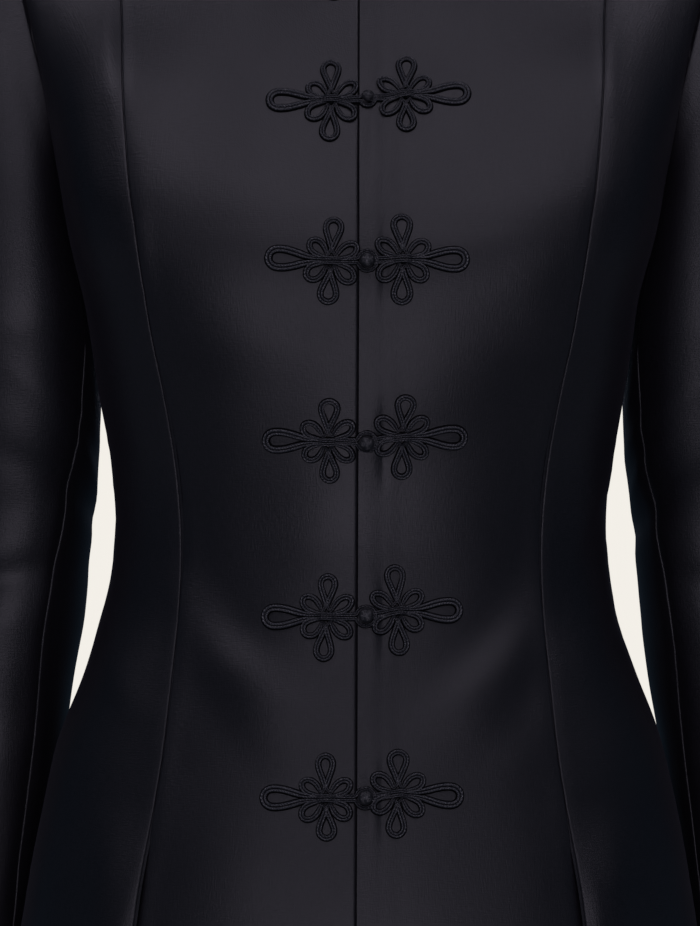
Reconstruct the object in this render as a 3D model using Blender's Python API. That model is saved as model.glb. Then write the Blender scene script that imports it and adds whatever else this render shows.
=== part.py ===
"""Fitted tang jacket in satin, as worn: eight-panel body, two-piece sleeves, stand collar and six frogs.

Metres, +Z up, the fronts face -Y. The origin lies between the shoulders, level with the tops of the
shoulder seams. "left" and "right" are the sides seen from the front, so left is -X.
"""

import math

import bpy
import numpy as np
from mathutils import Vector
from mathutils.bvhtree import BVHTree

for item in list(bpy.data.objects):
    bpy.data.objects.remove(item)

# Cloth
wall = 0.0015
seam_gap = 0.0003

# Heights and widths of the cut
hem_z = -0.690
armpit_z = -0.237
chest_span = 0.180  # length given to the body above the armpits, in the height that runs up its columns
neck_width = 0.066
neck_front = 0.050
neck_back = 0.058
shoulder_tip_x = 0.212
shoulder_tip_y = 0.004
shoulder_drop = 0.045
ridge_rise = 0.012  # height to which the shoulder line would rise at the middle of the neck
armhole_slope = 0.250  # how fast the armhole runs in from the shoulder tip, per height
foot_flare = 0.0105  # how far it bows out again at the level of the armpits
flare_power = 6
armhole_spread = 0.084  # how much wider than at the armpits the outermost column would meet the shoulder line
spread_power = 2.2
column_flare = 1.2  # how much the rising columns still widen as they run into the shoulder line
tip_place = 1.15  # angle round the chest of the column that reaches the shoulder tip
seam_slope = 0.95  # how steeply the body's surface stands at the shoulder seams
finite = 0.004  # short step that gives the direction of a curve or of the cloth
nudge = 0.001  # shorter step, up the cloth, for its normals
turn_nudge = 0.002  # the same step round the body, in radians

# Centre front: the right front lies on the left front's underlap
overlap_edge_x = -0.0017
underlap_edge_x = 0.0105
dip_start_x = -0.0105
dip_end_x = -0.0030
underlap_clearance = 0.0005

collar_height = 0.040
collar_lean = 0.006
collar_front_gap = 0.0016
collar_corner = 0.014
corner_steps = (0.0, 0.12, 0.4)  # the rounded corner's columns, as shares of its length

cuff_z = -0.665
bicep_z = -0.300
sleeve_clearance = 0.0012
sleeve_columns_round = 18  # columns of the sleeve's grid, which meet the body's along the armhole
front_sleeve_seam = 7  # the seams' places, in columns from the outer side, through the front
back_sleeve_seam = 12

# Sections of the body: half width, depths in front of and behind the side, the princess seams' x, and the
# exponent of the section's curve, where 2 is an ellipse
body_columns = ("z", "half_width", "front", "back", "princess_front", "princess_back", "roundness")
body_levels = {
    "hem": (hem_z, 0.2045, 0.130, 0.134, 0.1318, 0.106, 2.2),
    "low_hip": (-0.632, 0.1965, 0.127, 0.129, 0.1252, 0.100, 2.2),
    "hip": (-0.585, 0.1882, 0.122, 0.121, 0.1190, 0.093, 2.2),
    "high_hip": (-0.540, 0.1780, 0.115, 0.110, 0.1120, 0.085, 2.2),
    "belly": (-0.497, 0.1620, 0.108, 0.098, 0.1075, 0.079, 2.2),
    "low_waist": (-0.459, 0.1500, 0.102, 0.088, 0.1040, 0.075, 2.15),
    "waist": (-0.420, 0.1450, 0.099, 0.083, 0.1030, 0.075, 2.15),
    "high_waist": (-0.379, 0.1470, 0.103, 0.085, 0.1060, 0.084, 2.2),
    "ribs": (-0.338, 0.1540, 0.112, 0.091, 0.1125, 0.096, 2.4),
    "underbust": (-0.300, 0.1595, 0.1195, 0.097, 0.1200, 0.108, 2.75),
    "bust": (-0.268, 0.1640, 0.1222, 0.101, 0.1244, 0.119, 3.1),
    "high_bust": (-0.252, 0.1665, 0.1210, 0.1025, 0.1256, 0.124, 3.25),
    "armpit": (armpit_z, 0.1690, 0.1182, 0.104, 0.1267, 0.129, 3.3),
}

# Pull of the columns above the armpits, at four places from the centre to the side: how strongly a column
# leaves upward, and how strongly it runs back, or forward, into the shoulder line
pull_columns = ("leave", "arrive")
front_pull = {
    "centre": (0.17, 0.07),
    "side_neck": (0.20, 0.10),
    "shoulder_tip": (0.20, 0.10),
    "side": (0.20, 0.06),
}
back_pull = {
    "centre": (0.30, 0.30),
    "side_neck": (0.28, 0.22),
    "shoulder_tip": (0.22, 0.12),
    "side": (0.20, 0.06),
}

# Sections of the sleeve: its axis, its radii and how far the cloth's grain is turned, in degrees
sleeve_columns = ("z", "x", "y", "radius_x", "radius_y", "turned")
sleeve_levels = {
    "cuff": (cuff_z, 0.2345, 0.052, 0.0400, 0.0445, -7),
    "wrist": (-0.600, 0.2290, 0.050, 0.0425, 0.0470, -8),
    "forearm": (-0.530, 0.2205, 0.046, 0.0450, 0.0505, -11),
    "low_elbow": (-0.470, 0.2130, 0.040, 0.0470, 0.0535, -16),
    "elbow": (-0.410, 0.2085, 0.033, 0.0485, 0.0560, -7),
    "low_arm": (-0.355, 0.2070, 0.022, 0.0515, 0.0590, 1),
    "bicep": (bicep_z, 0.2085, 0.012, 0.0550, 0.0620, 8),
}

# How each sleeve hangs away from those sections below the biceps: out from the body, and turned in degrees
hang_columns = ("out", "turned")
sleeve_hang = {-1: (0.0, 0), 1: (0.003, 8)}
hang_depth = 0.120  # height below the biceps over which it comes in

# Soft folds: side of the jacket, height and x of the fold's middle, its half length, half width, slope
# and height out of the cloth. A fold on the back has a positive face.
fold_columns = ("side", "face", "z", "x", "reach", "breadth", "slope", "rise")
folds = {
    "left_waist_drape": (-1, -1, -0.489, 0.066, 0.062, 0.014, -58, 0.0013),
    "right_waist_drape": (1, -1, -0.492, 0.064, 0.058, 0.014, -54, 0.0014),
    "left_waist_valley": (-1, -1, -0.467, 0.080, 0.055, 0.013, -60, -0.0012),
    "right_waist_valley": (1, -1, -0.470, 0.078, 0.050, 0.013, -56, -0.0011),
    "left_back_waist": (-1, 1, -0.405, 0.090, 0.050, 0.010, 18, 0.0016),
    "right_back_waist": (1, 1, -0.412, 0.086, 0.046, 0.011, 14, 0.0015),
}

# Creases round the sleeves: side, height, angle of the deepest place, how far round they reach, half width,
# rise along the reach and depth
crease_columns = ("side", "z", "angle", "reach", "breadth", "slope", "rise")
creases = {
    "left_elbow_low": (-1, -0.436, 25, 70, 0.013, 0.020, -0.0030),
    "left_elbow_high": (-1, -0.395, 150, 60, 0.012, -0.024, -0.0022),
    "left_elbow_swell": (-1, -0.462, 10, 60, 0.013, 0.016, 0.0016),
    "right_elbow_low": (1, -0.446, 20, 72, 0.013, 0.018, -0.0028),
    "right_elbow_high": (1, -0.402, 146, 58, 0.012, -0.022, -0.0024),
    "right_elbow_swell": (1, -0.474, 8, 60, 0.013, 0.015, 0.0015),
}

# Frogs: height of the middle, x of the two cores, how much higher the right core sits, and lean of each half
frog_columns = ("z", "left_x", "right_x", "right_raise", "left_lean", "right_lean")
frogs = {
    1: (-0.0880, -0.0178, 0.0226, 0.0020, 0.0, 0.0),
    2: (-0.1700, -0.0177, 0.0240, 0.0033, 1.0, -2.0),
    3: (-0.2620, -0.0176, 0.0227, 0.0012, -2.0, 1.0),
    4: (-0.3620, -0.0188, 0.0227, 0.0027, 1.5, 2.0),
    5: (-0.4620, -0.0193, 0.0204, 0.0034, -1.0, -1.5),
    6: (-0.5630, -0.0193, 0.0210, 0.0028, 2.0, 1.0),
}
knot_x = 0.0028

# One half of a frog: each looped petal's direction, length from the core, width and outline steps a side
petal_columns = ("angle", "length", "width", "steps")
petals = {
    "inner_up": (41, 0.0160, 0.0082, 3),
    "up": (90, 0.0238, 0.0098, 4),
    "outer_up": (137, 0.0166, 0.0080, 3),
    "tail": (182, 0.0365, 0.0128, 5),
    "outer_down": (226, 0.0166, 0.0080, 3),
    "down": (270, 0.0238, 0.0098, 4),
    "inner_down": (319, 0.0160, 0.0082, 3),
}
hub_radius = 0.0042
braid = 0.0033
frog_thickness = 0.0022
petal_taper = 0.2  # how much fuller a petal's outer half is than its inner half
eye_squeeze = 0.86  # the braid's width beside a petal's eye, as a share of its full width
frog_lift = 0.0008
stem_half_width = 0.0024
ring_radius = 0.0067
ring_hole = 0.0034
ring_steps = 12
stem_end_gap = 0.0004  # between the loop's ring and the end of the other half's stem

# Turned outline of a knot, from the foot in the loop to the crown: radius and height over the cloth
knot_columns = ("radius", "height")
knot_outline = {
    "foot": (0.0023, 0.0006),
    "neck": (0.0023, 0.0030),
    "under": (0.0043, 0.0042),
    "girth": (0.0050, 0.0058),
    "shoulder": (0.0036, 0.0088),
    "crown": (0.0016, 0.0098),
}
knot_sides = 10

satin_black = (0.020, 0.019, 0.022, 1.0)
braid_black = (0.011, 0.011, 0.012, 1.0)


def material(name, colour, roughness):
    made = bpy.data.materials.new(name)
    made.use_nodes = True
    shader = made.node_tree.nodes["Principled BSDF"]
    shader.inputs["Base Color"].default_value = colour
    shader.inputs["Roughness"].default_value = roughness
    shader.inputs["Metallic"].default_value = 0.0
    return made


satin = material("satin", satin_black, 0.42)
soutache = material("soutache", braid_black, 0.62)
knot_cloth = material("knot_cloth", braid_black, 0.55)


def column_at(levels, column, z):
    """A table's column at the heights z, on a smooth curve through its rows."""
    rows = np.array(sorted(levels.values()))
    heights, values = rows[:, 0], rows[:, column]
    slopes = np.gradient(values, heights)
    z = np.clip(z, heights[0], heights[-1])
    low = np.clip(np.searchsorted(heights, z, side="right") - 1, 0, len(heights) - 2)
    step = heights[low + 1] - heights[low]
    s = (z - heights[low]) / step
    rising = s * s * (3 - 2 * s)
    enter = s * (1 - s) ** 2 * step
    leave = -s * s * (1 - s) * step
    level = values[low] * (1 - rising) + values[low + 1] * rising
    return level + enter * slopes[low] + leave * slopes[low + 1]


def body_column(name, z):
    return column_at(body_levels, body_columns.index(name), z)


def sleeve_column(name, z):
    return column_at(sleeve_levels, sleeve_columns.index(name), z)


def turn_at(x, z):
    """Angle round the front half of a section, 0 at the centre front, at which it is x wide."""
    share = np.clip(np.abs(x) / body_column("half_width", z), 0, 1)
    return np.sign(x) * np.arcsin(share ** (body_column("roundness", z) / 2))


def section(z, turn):
    """Point of the section at height z: turn is 0 at the centre front and pi at the centre back."""
    power = 2 / body_column("roundness", z)
    sine, cosine = np.sin(turn), np.cos(turn)
    depth = np.where(cosine > 0, -body_column("front", z), body_column("back", z))
    x = body_column("half_width", z) * np.sign(sine) * np.abs(sine) ** power
    return np.stack([x, depth * np.abs(cosine) ** power, z + 0 * x], axis=-1)


def shoulder_line(x):
    """Point of the line from the middle of the neck through the shoulder seam and on past its tip."""
    along = (x - neck_width) / (shoulder_tip_x - neck_width)
    inside = ridge_rise * (1 - np.clip(x / neck_width, 0, 1) ** 2)
    z = np.where(x < neck_width, inside, -shoulder_drop * along)
    return np.stack([x, shoulder_tip_y * np.clip(along, 0, None), z], axis=-1)


def armhole_x(z):
    """The armhole seen from the front: down and in from the shoulder tip, and out again at its foot."""
    down = -shoulder_drop - z
    foot = np.clip(down / (-shoulder_drop - armpit_z), 0, None) ** flare_power
    return shoulder_tip_x - armhole_slope * down + foot_flare * foot


princess_turn = float(turn_at(body_levels["armpit"][4], armpit_z))
princess_back_turn = math.pi - float(turn_at(body_levels["armpit"][5], armpit_z))
neck_turn = float(turn_at(neck_width, armpit_z))


def column(turn, share):
    """Point of the columns that rise from the armpits' section to the shoulder line, for turn >= 0."""
    start = section(np.full(turn.shape, armpit_z), turn)
    below = section(np.full(turn.shape, armpit_z - finite), turn)
    reach = np.clip((start[..., 0] - neck_width) / (body_levels["armpit"][1] - neck_width), 0, 1)
    end = shoulder_line(start[..., 0] + armhole_spread * reach**spread_power)
    half = np.where(turn <= np.pi / 2, turn, np.pi - turn)
    places = (0, neck_turn, tip_place, np.pi / 2)
    ahead, behind = np.array(list(front_pull.values())), np.array(list(back_pull.values()))
    in_front = turn <= np.pi / 2
    leave, arrive = (
        np.where(in_front, np.interp(half, places, ahead[:, k]), np.interp(half, places, behind[:, k]))
        for k in range(2)
    )
    rise = (start - below) / finite * leave[..., None]
    widen = column_flare * (end[..., 0] - start[..., 0])
    slope = -shoulder_drop / (shoulder_tip_x - neck_width)
    back = arrive * np.where(in_front, 1, -1)
    run = np.stack([widen, back, widen * slope], axis=-1)
    s = np.asarray(share)[..., None]
    bend = s * s * (3 - 2 * s)
    return start * (1 - bend) + end * bend + s * (1 - s) ** 2 * rise - s * s * (1 - s) * run


def trimmed_shares():
    """How far up its column the body reaches at each turn, before the neckline or the armhole cuts it off."""
    turns = np.linspace(0, np.pi, 1441)
    shares = np.linspace(0, 1, 241)
    points = column(turns[:, None] + 0 * shares, shares + 0 * turns[:, None])
    depth = np.where(points[..., 1] < 0, neck_front, neck_back)
    outside_neck = (points[..., 0] / neck_width) ** 2 + (points[..., 1] / depth) ** 2 - 1
    inside_armhole = (armhole_x(points[..., 2]) - points[..., 0]) / neck_width
    room = np.minimum(outside_neck, inside_armhole)
    room[:, :5] = 1
    room[:, -1] = np.where(room[:, -1] > -1e-6, -1e-9, room[:, -1])
    cut = np.argmax(room < 0, axis=1)
    row = np.arange(len(turns))
    above, under = room[row, cut], room[row, cut - 1]
    return turns, shares[cut - 1] + (shares[cut] - shares[cut - 1]) * under / (under - above)


trim_turns, trim_shares = trimmed_shares()
reaching = trim_turns[(trim_turns < np.pi / 2) & (trim_shares > 0.9999)]
tip_turn = float(reaching.max())
side_neck_turn = float(reaching.min())
neck_shares = np.array([0.40, 0.75, 0.93])  # columns that end on the neckline, as shares of its half width
neck_stations = np.append(turn_at(neck_width * neck_shares, armpit_z), side_neck_turn)
armhole_steps = sleeve_columns_round // 2


def smooth_body(height, turn):
    """Point of the body's outer surface. Above the armpits height runs on along the rising columns."""
    height, turn = np.broadcast_arrays(np.asarray(height, float), np.asarray(turn, float))
    low = section(np.minimum(height, armpit_z), turn)
    mirror = np.where(turn < 0, -1.0, 1.0)[..., None] * np.array([1, 0, 0]) + np.array([0, 1, 1])
    share = np.clip((height - armpit_z) / chest_span, 0, None)
    high = column(np.abs(turn), share * np.interp(np.abs(turn), trim_turns, trim_shares)) * mirror
    return np.where((height > armpit_z)[..., None], high, low)


def armhole(angle):
    """Point of the armhole: angle 0 at the shoulder tip, through the front, pi at the armpit."""
    angle = (angle + np.pi) % (2 * np.pi) - np.pi
    turn = tip_turn + (np.pi / 2 - tip_turn) * np.abs(angle) / np.pi
    return smooth_body(armpit_z + chest_span, np.where(angle < 0, np.pi - turn, turn))


def fold_rise(points):
    """How far the folds lift the cloth out, or press it in, at points of the smooth body."""
    lift = np.zeros(points.shape[:-1])
    for side, face, z, x, reach, breadth, slope, rise in folds.values():
        lean = math.radians(slope)
        across = points[..., 0] * side - x
        up = points[..., 2] - z
        along = across * math.cos(lean) + up * math.sin(lean)
        beside = up * math.cos(lean) - across * math.sin(lean)
        shape = np.exp(-((along / reach) ** 2) - (beside / breadth) ** 2)
        lift += np.where(points[..., 1] * face > 0, rise * shape, 0)
    return lift


def normals_of(surface, first, second, step_first, step_second):
    """Outward normals of a surface given as a function of two coordinates."""
    along = surface(first + step_first, second) - surface(first - step_first, second)
    round_it = surface(first, second + step_second) - surface(first, second - step_second)
    normal = np.cross(round_it, along)
    return normal / np.linalg.norm(normal, axis=-1, keepdims=True)


def body(height, turn, lift=0.0):
    """Point of the body with its folds, moved out by lift."""
    top = armpit_z + chest_span
    height, turn = np.broadcast_arrays(np.asarray(height, float), np.asarray(turn, float))
    inside = np.clip(height, hem_z + nudge, top - nudge)
    edge_safe = np.where(np.abs(np.abs(turn) - np.pi / 2) < 2 * turn_nudge, turn + 2 * turn_nudge, turn)
    normal = normals_of(smooth_body, inside, edge_safe, nudge, turn_nudge)
    points = smooth_body(height, turn)
    return points + normal * (fold_rise(points) + lift)[..., None]


def grid_triangles(index, mirrored):
    """Triangles of a grid of point numbers; the diagonals of a mirrored grid run the other way."""
    a, b, c, d = index[:-1, :-1], index[:-1, 1:], index[1:, 1:], index[1:, :-1]
    first = np.where(mirrored, [a, b, d], [a, b, c])
    second = np.where(mirrored, [b, c, d], [a, c, d])
    return np.concatenate([np.moveaxis(corners, 0, -1).reshape(-1, 3) for corners in (first, second)])


def sheet_object(name, outer, inner, cloth, mirrored=False):
    """A closed wall between two grids of points."""
    count = outer.shape[0] * outer.shape[1]
    index = np.arange(count).reshape(outer.shape[:2])
    skin = grid_triangles(index, mirrored)
    rim = np.concatenate([index[0], index[1:, -1], index[-1, -2::-1], index[-2:0:-1, 0]])
    ahead = np.roll(rim, -1)
    ends = [rim, rim + count, ahead + count, ahead]
    rising = rim < ahead
    first = np.where(rising, [ends[0], ends[1], ends[2]], [ends[0], ends[1], ends[3]]).T
    second = np.where(rising, [ends[0], ends[2], ends[3]], [ends[1], ends[2], ends[3]]).T
    points = np.concatenate([outer.reshape(-1, 3), inner.reshape(-1, 3)])
    faces = np.concatenate([skin, skin[:, ::-1] + count, first, second]).tolist()
    return mesh_object(name, points, faces, cloth)


def mesh_object(name, points, faces, cloth):
    mesh = bpy.data.meshes.new(name)
    mesh.from_pydata([tuple(point) for point in points], [], faces)
    mesh.materials.append(cloth)
    made = bpy.data.objects.new(name, mesh)
    bpy.context.collection.objects.link(made)
    mesh.shade_smooth()
    mesh.set_sharp_from_angle(angle=math.radians(35))
    return made


def seam_inset(height, turn, toward):
    """Turn moved by half a seam gap towards the panel's inside."""
    ahead, behind = smooth_body(height, turn + turn_nudge), smooth_body(height, turn - turn_nudge)
    speed = np.linalg.norm(ahead - behind, axis=-1) / (2 * turn_nudge)
    return turn + toward * (seam_gap / 2) / np.maximum(speed, 1e-6)


def panel_turns(height, start, end, shares):
    """Turns of a panel's grid, from one seam to the next at each height."""
    a, b = start(height), end(height)
    a, b = seam_inset(height, a, 1), seam_inset(height, b, -1)
    return a[:, None] * (1 - shares) + b[:, None] * shares


def princess_front(height):
    low = np.minimum(height, armpit_z)
    return turn_at(body_column("princess_front", low), low)


def princess_back(height):
    low = np.minimum(height, armpit_z)
    return np.pi - turn_at(body_column("princess_back", low), low)


def side_seam(height):
    return np.full(height.shape, np.pi / 2)


def centre_back(height):
    return np.full(height.shape, np.pi)


hem_rows = np.linspace(hem_z, armpit_z, 13)
top_inset = seam_gap / seam_slope
chest_rows = armpit_z + (chest_span - top_inset) * np.array([0.2, 0.4, 0.6, 0.8, 1.0])
panel_rows = np.concatenate([hem_rows, chest_rows])
armhole_stations = tip_turn + (np.pi / 2 - tip_turn) * np.arange(armhole_steps + 1) / armhole_steps


def side_shares(panel_turn):
    """Shares of the way from a princess seam to the side seam, with columns at the tip and the armhole."""
    stations = np.concatenate([[panel_turn, (panel_turn + tip_turn) / 2], armhole_stations])
    return (stations - panel_turn) / (np.pi / 2 - panel_turn)


def panel(name, start, end, shares, side):
    turns = panel_turns(panel_rows, start, end, shares)
    heights = np.repeat(panel_rows[:, None], len(shares), axis=1)
    outer, inner = body(heights, turns), body(heights, turns, -wall)
    if side < 0:
        outer, inner = outer[:, ::-1] * (-1, 1, 1), inner[:, ::-1] * (-1, 1, 1)
    return sheet_object(name, outer, inner, satin, side < 0)


def front_turns(height, stations):
    """Turns of a front's grid: x stations near the centre, then the neck and the princess seam."""
    seam = seam_inset(height, princess_front(height), -1)
    near = [turn_at(np.full(height.shape, x), np.minimum(height, armpit_z)) for x in stations]
    middle = (neck_turn + princess_turn) / 2
    shares = np.concatenate([neck_stations, [middle, princess_turn]]) / princess_turn
    return np.stack(near + [seam * share for share in shares], axis=1)


def right_front():
    turns = front_turns(panel_rows, (overlap_edge_x, -dip_start_x))
    heights = np.repeat(panel_rows[:, None], turns.shape[1], axis=1)
    return sheet_object("front_right", body(heights, turns), body(heights, turns, -wall), satin)


def left_front():
    turns = front_turns(panel_rows, (-underlap_edge_x, -dip_end_x, -dip_start_x))
    heights = np.repeat(panel_rows[:, None], turns.shape[1], axis=1)
    dip = np.zeros(turns.shape)
    dip[:, :2] = -(wall + underlap_clearance)
    outer, inner = body(heights, turns, dip), body(heights, turns, dip - wall)
    mirror = (-1, 1, 1)
    return sheet_object("front_left", outer[:, ::-1] * mirror, inner[:, ::-1] * mirror, satin, True)


def body_panels():
    front_shares = side_shares(princess_turn)
    back_shares = 1 - side_shares(np.pi - princess_back_turn)[::-1]
    back_width = np.pi - princess_back_turn
    middle = (neck_turn + back_width) / 2
    centre_shares = 1 - np.concatenate([[back_width, middle], neck_stations[::-1], [0]]) / back_width
    right_front()
    left_front()
    for side, word in ((-1, "left"), (1, "right")):
        panel(f"side_front_{word}", princess_front, side_seam, front_shares, side)
        panel(f"side_back_{word}", side_seam, princess_back, back_shares, side)
        panel(f"back_{word}", princess_back, centre_back, centre_shares, side)


soft_touch = 0.004  # how gently a sleeve flattens where it meets the body
side_flare = 0.19  # widening of the body's sides above the armpits, per height
armhole_foot_z = float(armhole(np.array(np.pi))[2])
touch_fade = 0.012  # height below the armhole over which the sleeve comes to touch the body


def clear_of_body(points):
    """Moves a sleeve's points out to just clear of the body's side, where the two touch."""
    z = np.clip(points[..., 2], hem_z, armpit_z)
    above = np.clip(points[..., 2] - armpit_z, 0, None)
    depth = np.where(points[..., 1] < 0, body_column("front", z), body_column("back", z))
    share = np.clip(np.abs(points[..., 1]) / depth, 0, 1)
    power = body_column("roundness", z)
    width = body_column("half_width", z) + side_flare * above
    side = width * (1 - share**power) ** (1 / power) + sleeve_clearance
    room = points[..., 0] - side
    pushed = np.where(room > soft_touch, room, soft_touch * np.exp(np.clip(room / soft_touch, -8, 1) - 1))
    touching = np.clip((armhole_foot_z - points[..., 2]) / touch_fade, 0, 1)
    moved = points.copy()
    moved[..., 0] += touching * (side + pushed - points[..., 0])
    return moved


# Direction in which the sleeve leaves the armhole, and how strongly, at the armpit and at the shoulder tip
leave_armpit = (0.006, -0.060)
leave_tip = (0.135, 0.010)
leave_forward = 0.014


def sleeve_start(angle):
    """Direction in which the sleeve leaves the armhole, from the shoulder tip round through the front."""
    top = (1 + np.cos(angle)) / 2
    x = leave_armpit[0] + (leave_tip[0] - leave_armpit[0]) * top
    y = -leave_forward * np.sin(angle)
    z = leave_armpit[1] + (leave_tip[1] - leave_armpit[1]) * top
    return np.stack([x, y, z], axis=-1)


def hanging(z, side, column_name):
    """How far a sleeve hangs out, or is turned, at the height z."""
    share = np.clip((bicep_z - z) / hang_depth, 0, 1)
    return sleeve_hang[side][hang_columns.index(column_name)] * share * share * (3 - 2 * share)


def smooth_sleeve(height, angle, side):
    """Point of a sleeve drawn on the right; above the biceps height runs up the sleeve head."""
    height, angle = np.broadcast_arrays(np.asarray(height, float), np.asarray(angle, float))

    def ring(z):
        x = sleeve_column("x", z) + hanging(z, side, "out") + sleeve_column("radius_x", z) * np.cos(angle)
        y = sleeve_column("y", z) - sleeve_column("radius_y", z) * np.sin(angle)
        return np.stack([x, y, z + 0 * x], axis=-1)

    low = ring(np.minimum(height, bicep_z))
    head_span = armpit_z - bicep_z
    s = (np.clip(height - bicep_z, 0, None) / head_span)[..., None]
    start, end = ring(np.full(angle.shape, bicep_z)), armhole(angle)
    reach = np.linalg.norm(end - start, axis=-1, keepdims=True)
    rise = (start - ring(np.full(angle.shape, bicep_z - finite))) / finite * reach
    arrive = -sleeve_start(angle)
    bend = s * s * (3 - 2 * s)
    high = start * (1 - bend) + end * bend + s * (1 - s) ** 2 * rise - s * s * (1 - s) * arrive
    return clear_of_body(np.where((height > bicep_z)[..., None], high, low))


def crease_rise(height, angle, side):
    lift = np.zeros(np.broadcast(height, angle).shape)
    for crease_side, z, middle, reach, breadth, slope, rise in creases.values():
        if crease_side != side:
            continue
        turn = (angle - math.radians(middle) + np.pi) % (2 * np.pi) - np.pi
        across = turn / math.radians(reach)
        lift += rise * np.exp(-(across**2) - ((height - z - slope * across) / breadth) ** 2)
    return lift


def sleeve(height, angle, side, inset=0.0, lift=0.0):
    """Point of the sleeve moved out by lift; inset turns it from its column, whose direction it keeps."""
    height, angle = np.broadcast_arrays(np.asarray(height, float), np.asarray(angle, float))
    inside = np.clip(height, cuff_z + nudge, armpit_z - nudge)
    normal = -normals_of(lambda z, turn: smooth_sleeve(z, turn, side), inside, angle, nudge, 5 * turn_nudge)
    points = smooth_sleeve(height, angle + inset, side)
    return points + normal * (crease_rise(height, angle, side) + lift)[..., None]


head_rows = bicep_z + (armpit_z - bicep_z) * np.array([0.25, 0.50, 0.75, 0.985])
sleeve_rows = np.concatenate([np.linspace(cuff_z, bicep_z, 13), head_rows])


def sleeve_piece(name, start, end, side):
    """Part of the sleeve between two of its columns, parted from its neighbour by half a seam gap."""
    angles = 2 * np.pi / sleeve_columns_round * np.arange(start, end + 1.0)
    heights = np.repeat(sleeve_rows[:, None], len(angles), axis=1)
    head = np.clip((heights - bicep_z) / (armpit_z - bicep_z), 0, 1)
    low = np.minimum(heights, bicep_z)
    grain = np.radians(sleeve_column("turned", low) + hanging(low, side, "turned")) * (1 - head)
    inset = np.zeros(len(angles))
    inset[0] = seam_gap / 2 / sleeve_column("radius_x", cuff_z)
    inset[-1] = -inset[0]
    outer = sleeve(heights, angles + grain, side, inset)
    inner = sleeve(heights, angles + grain, side, inset, -wall)
    if side > 0:
        outer, inner = outer[:, ::-1], inner[:, ::-1]
    else:
        outer, inner = outer * (-1, 1, 1), inner * (-1, 1, 1)
    return sheet_object(name, outer, inner, satin, side < 0)


def sleeves():
    for side, word in ((-1, "left"), (1, "right")):
        sleeve_piece(f"sleeve_under_{word}", front_sleeve_seam, back_sleeve_seam, side)
        sleeve_piece(f"sleeve_upper_{word}", back_sleeve_seam - sleeve_columns_round, front_sleeve_seam, side)


def collar():
    """Stand collar round the neckline, open at the centre front, its two corners rounded off."""
    opening = turn_at(np.array([0, -dip_start_x]), armpit_z)
    turns = np.concatenate([opening, neck_stations, np.pi - neck_stations[-2::-1], [np.pi]])
    half = smooth_body(armpit_z + chest_span, turns)
    line = np.concatenate([half, half[-2::-1] * (-1, 1, 1)])
    run = np.concatenate([[0], np.cumsum(np.linalg.norm(np.diff(line, axis=0), axis=-1))])
    edge = collar_front_gap / 2
    rounding = edge + collar_corner * np.array(corner_steps)
    places = np.unique(np.concatenate([rounding, run[1:-1], run[-1] - rounding]))
    base = np.stack([np.interp(places, run, line[:, axis]) for axis in range(3)], -1)
    depth = np.where(base[:, 1] < 0, neck_front, neck_back)
    outward = np.stack([base[:, 0] / neck_width**2, base[:, 1] / depth**2, 0 * depth], -1)
    outward /= np.linalg.norm(outward, axis=-1, keepdims=True)
    from_end = np.minimum(places, run[-1] - places) - edge
    corner = np.clip(1 - from_end / collar_corner, 0, 1)
    height = collar_height - collar_corner * (1 - np.sqrt(1 - corner**2))
    outer, inner = [], []
    for share_up in (0.0, 0.5, 1.0):
        row = base + (0, 0, seam_gap) - outward * collar_lean * share_up
        row[:, 2] += height * share_up
        outer.append(row)
        inner.append(row - outward * wall)
    return sheet_object("collar", np.array(outer), np.array(inner), satin)


def fronts_tree():
    """The faceted outer faces of both fronts, with the left front's dip bridged, to lay the frogs on."""
    right = front_turns(panel_rows, (overlap_edge_x, -dip_start_x))
    turns = np.concatenate([-right[:, :0:-1], right], axis=1)
    heights = np.repeat(panel_rows[:, None], turns.shape[1], axis=1)
    index = np.arange(turns.size).reshape(turns.shape)
    mirrored = np.arange(turns.shape[1] - 1) < right.shape[1] - 1
    triangles = grid_triangles(index, mirrored)
    return BVHTree.FromPolygons(body(heights, turns).reshape(-1, 3).tolist(), triangles.tolist())


def cloth_at(x, z):
    """Point of the fronts straight behind (x, z), and the cloth's direction there, evened a little."""
    behind = Vector((0, 1, 0))
    near = finite
    taps = [(x, z), (x - near, z), (x + near, z), (x, z - near), (x, z + near)]
    hits = [tree_of_fronts.ray_cast(Vector((tap_x, -1, tap_z)), behind) for tap_x, tap_z in taps]
    normal = sum((hit[1] for hit in hits if hit[0] is not None), Vector()).normalized()
    return hits[0][0], normal * (-1 if normal.y > 0 else 1)


def foreshortening(centre_x, centre_z):
    """How much narrower and lower the sloping cloth round a centre looks from the front."""
    facing = cloth_at(centre_x, centre_z)[1]
    narrow = abs(facing.y) / math.hypot(facing.x, facing.y)
    short = abs(facing.y) / math.hypot(facing.z, facing.y)
    return narrow, short


def on_front(points, centre_z, centre_x):
    """Flat points (across, up, out) laid on the fronts round a centre."""
    narrow, short = foreshortening(centre_x, centre_z)
    placed = []
    for across, up, out in points:
        spot, normal = cloth_at(centre_x + across * narrow, centre_z + up * short)
        placed.append(spot + normal * out)
    return np.array(placed)


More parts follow.
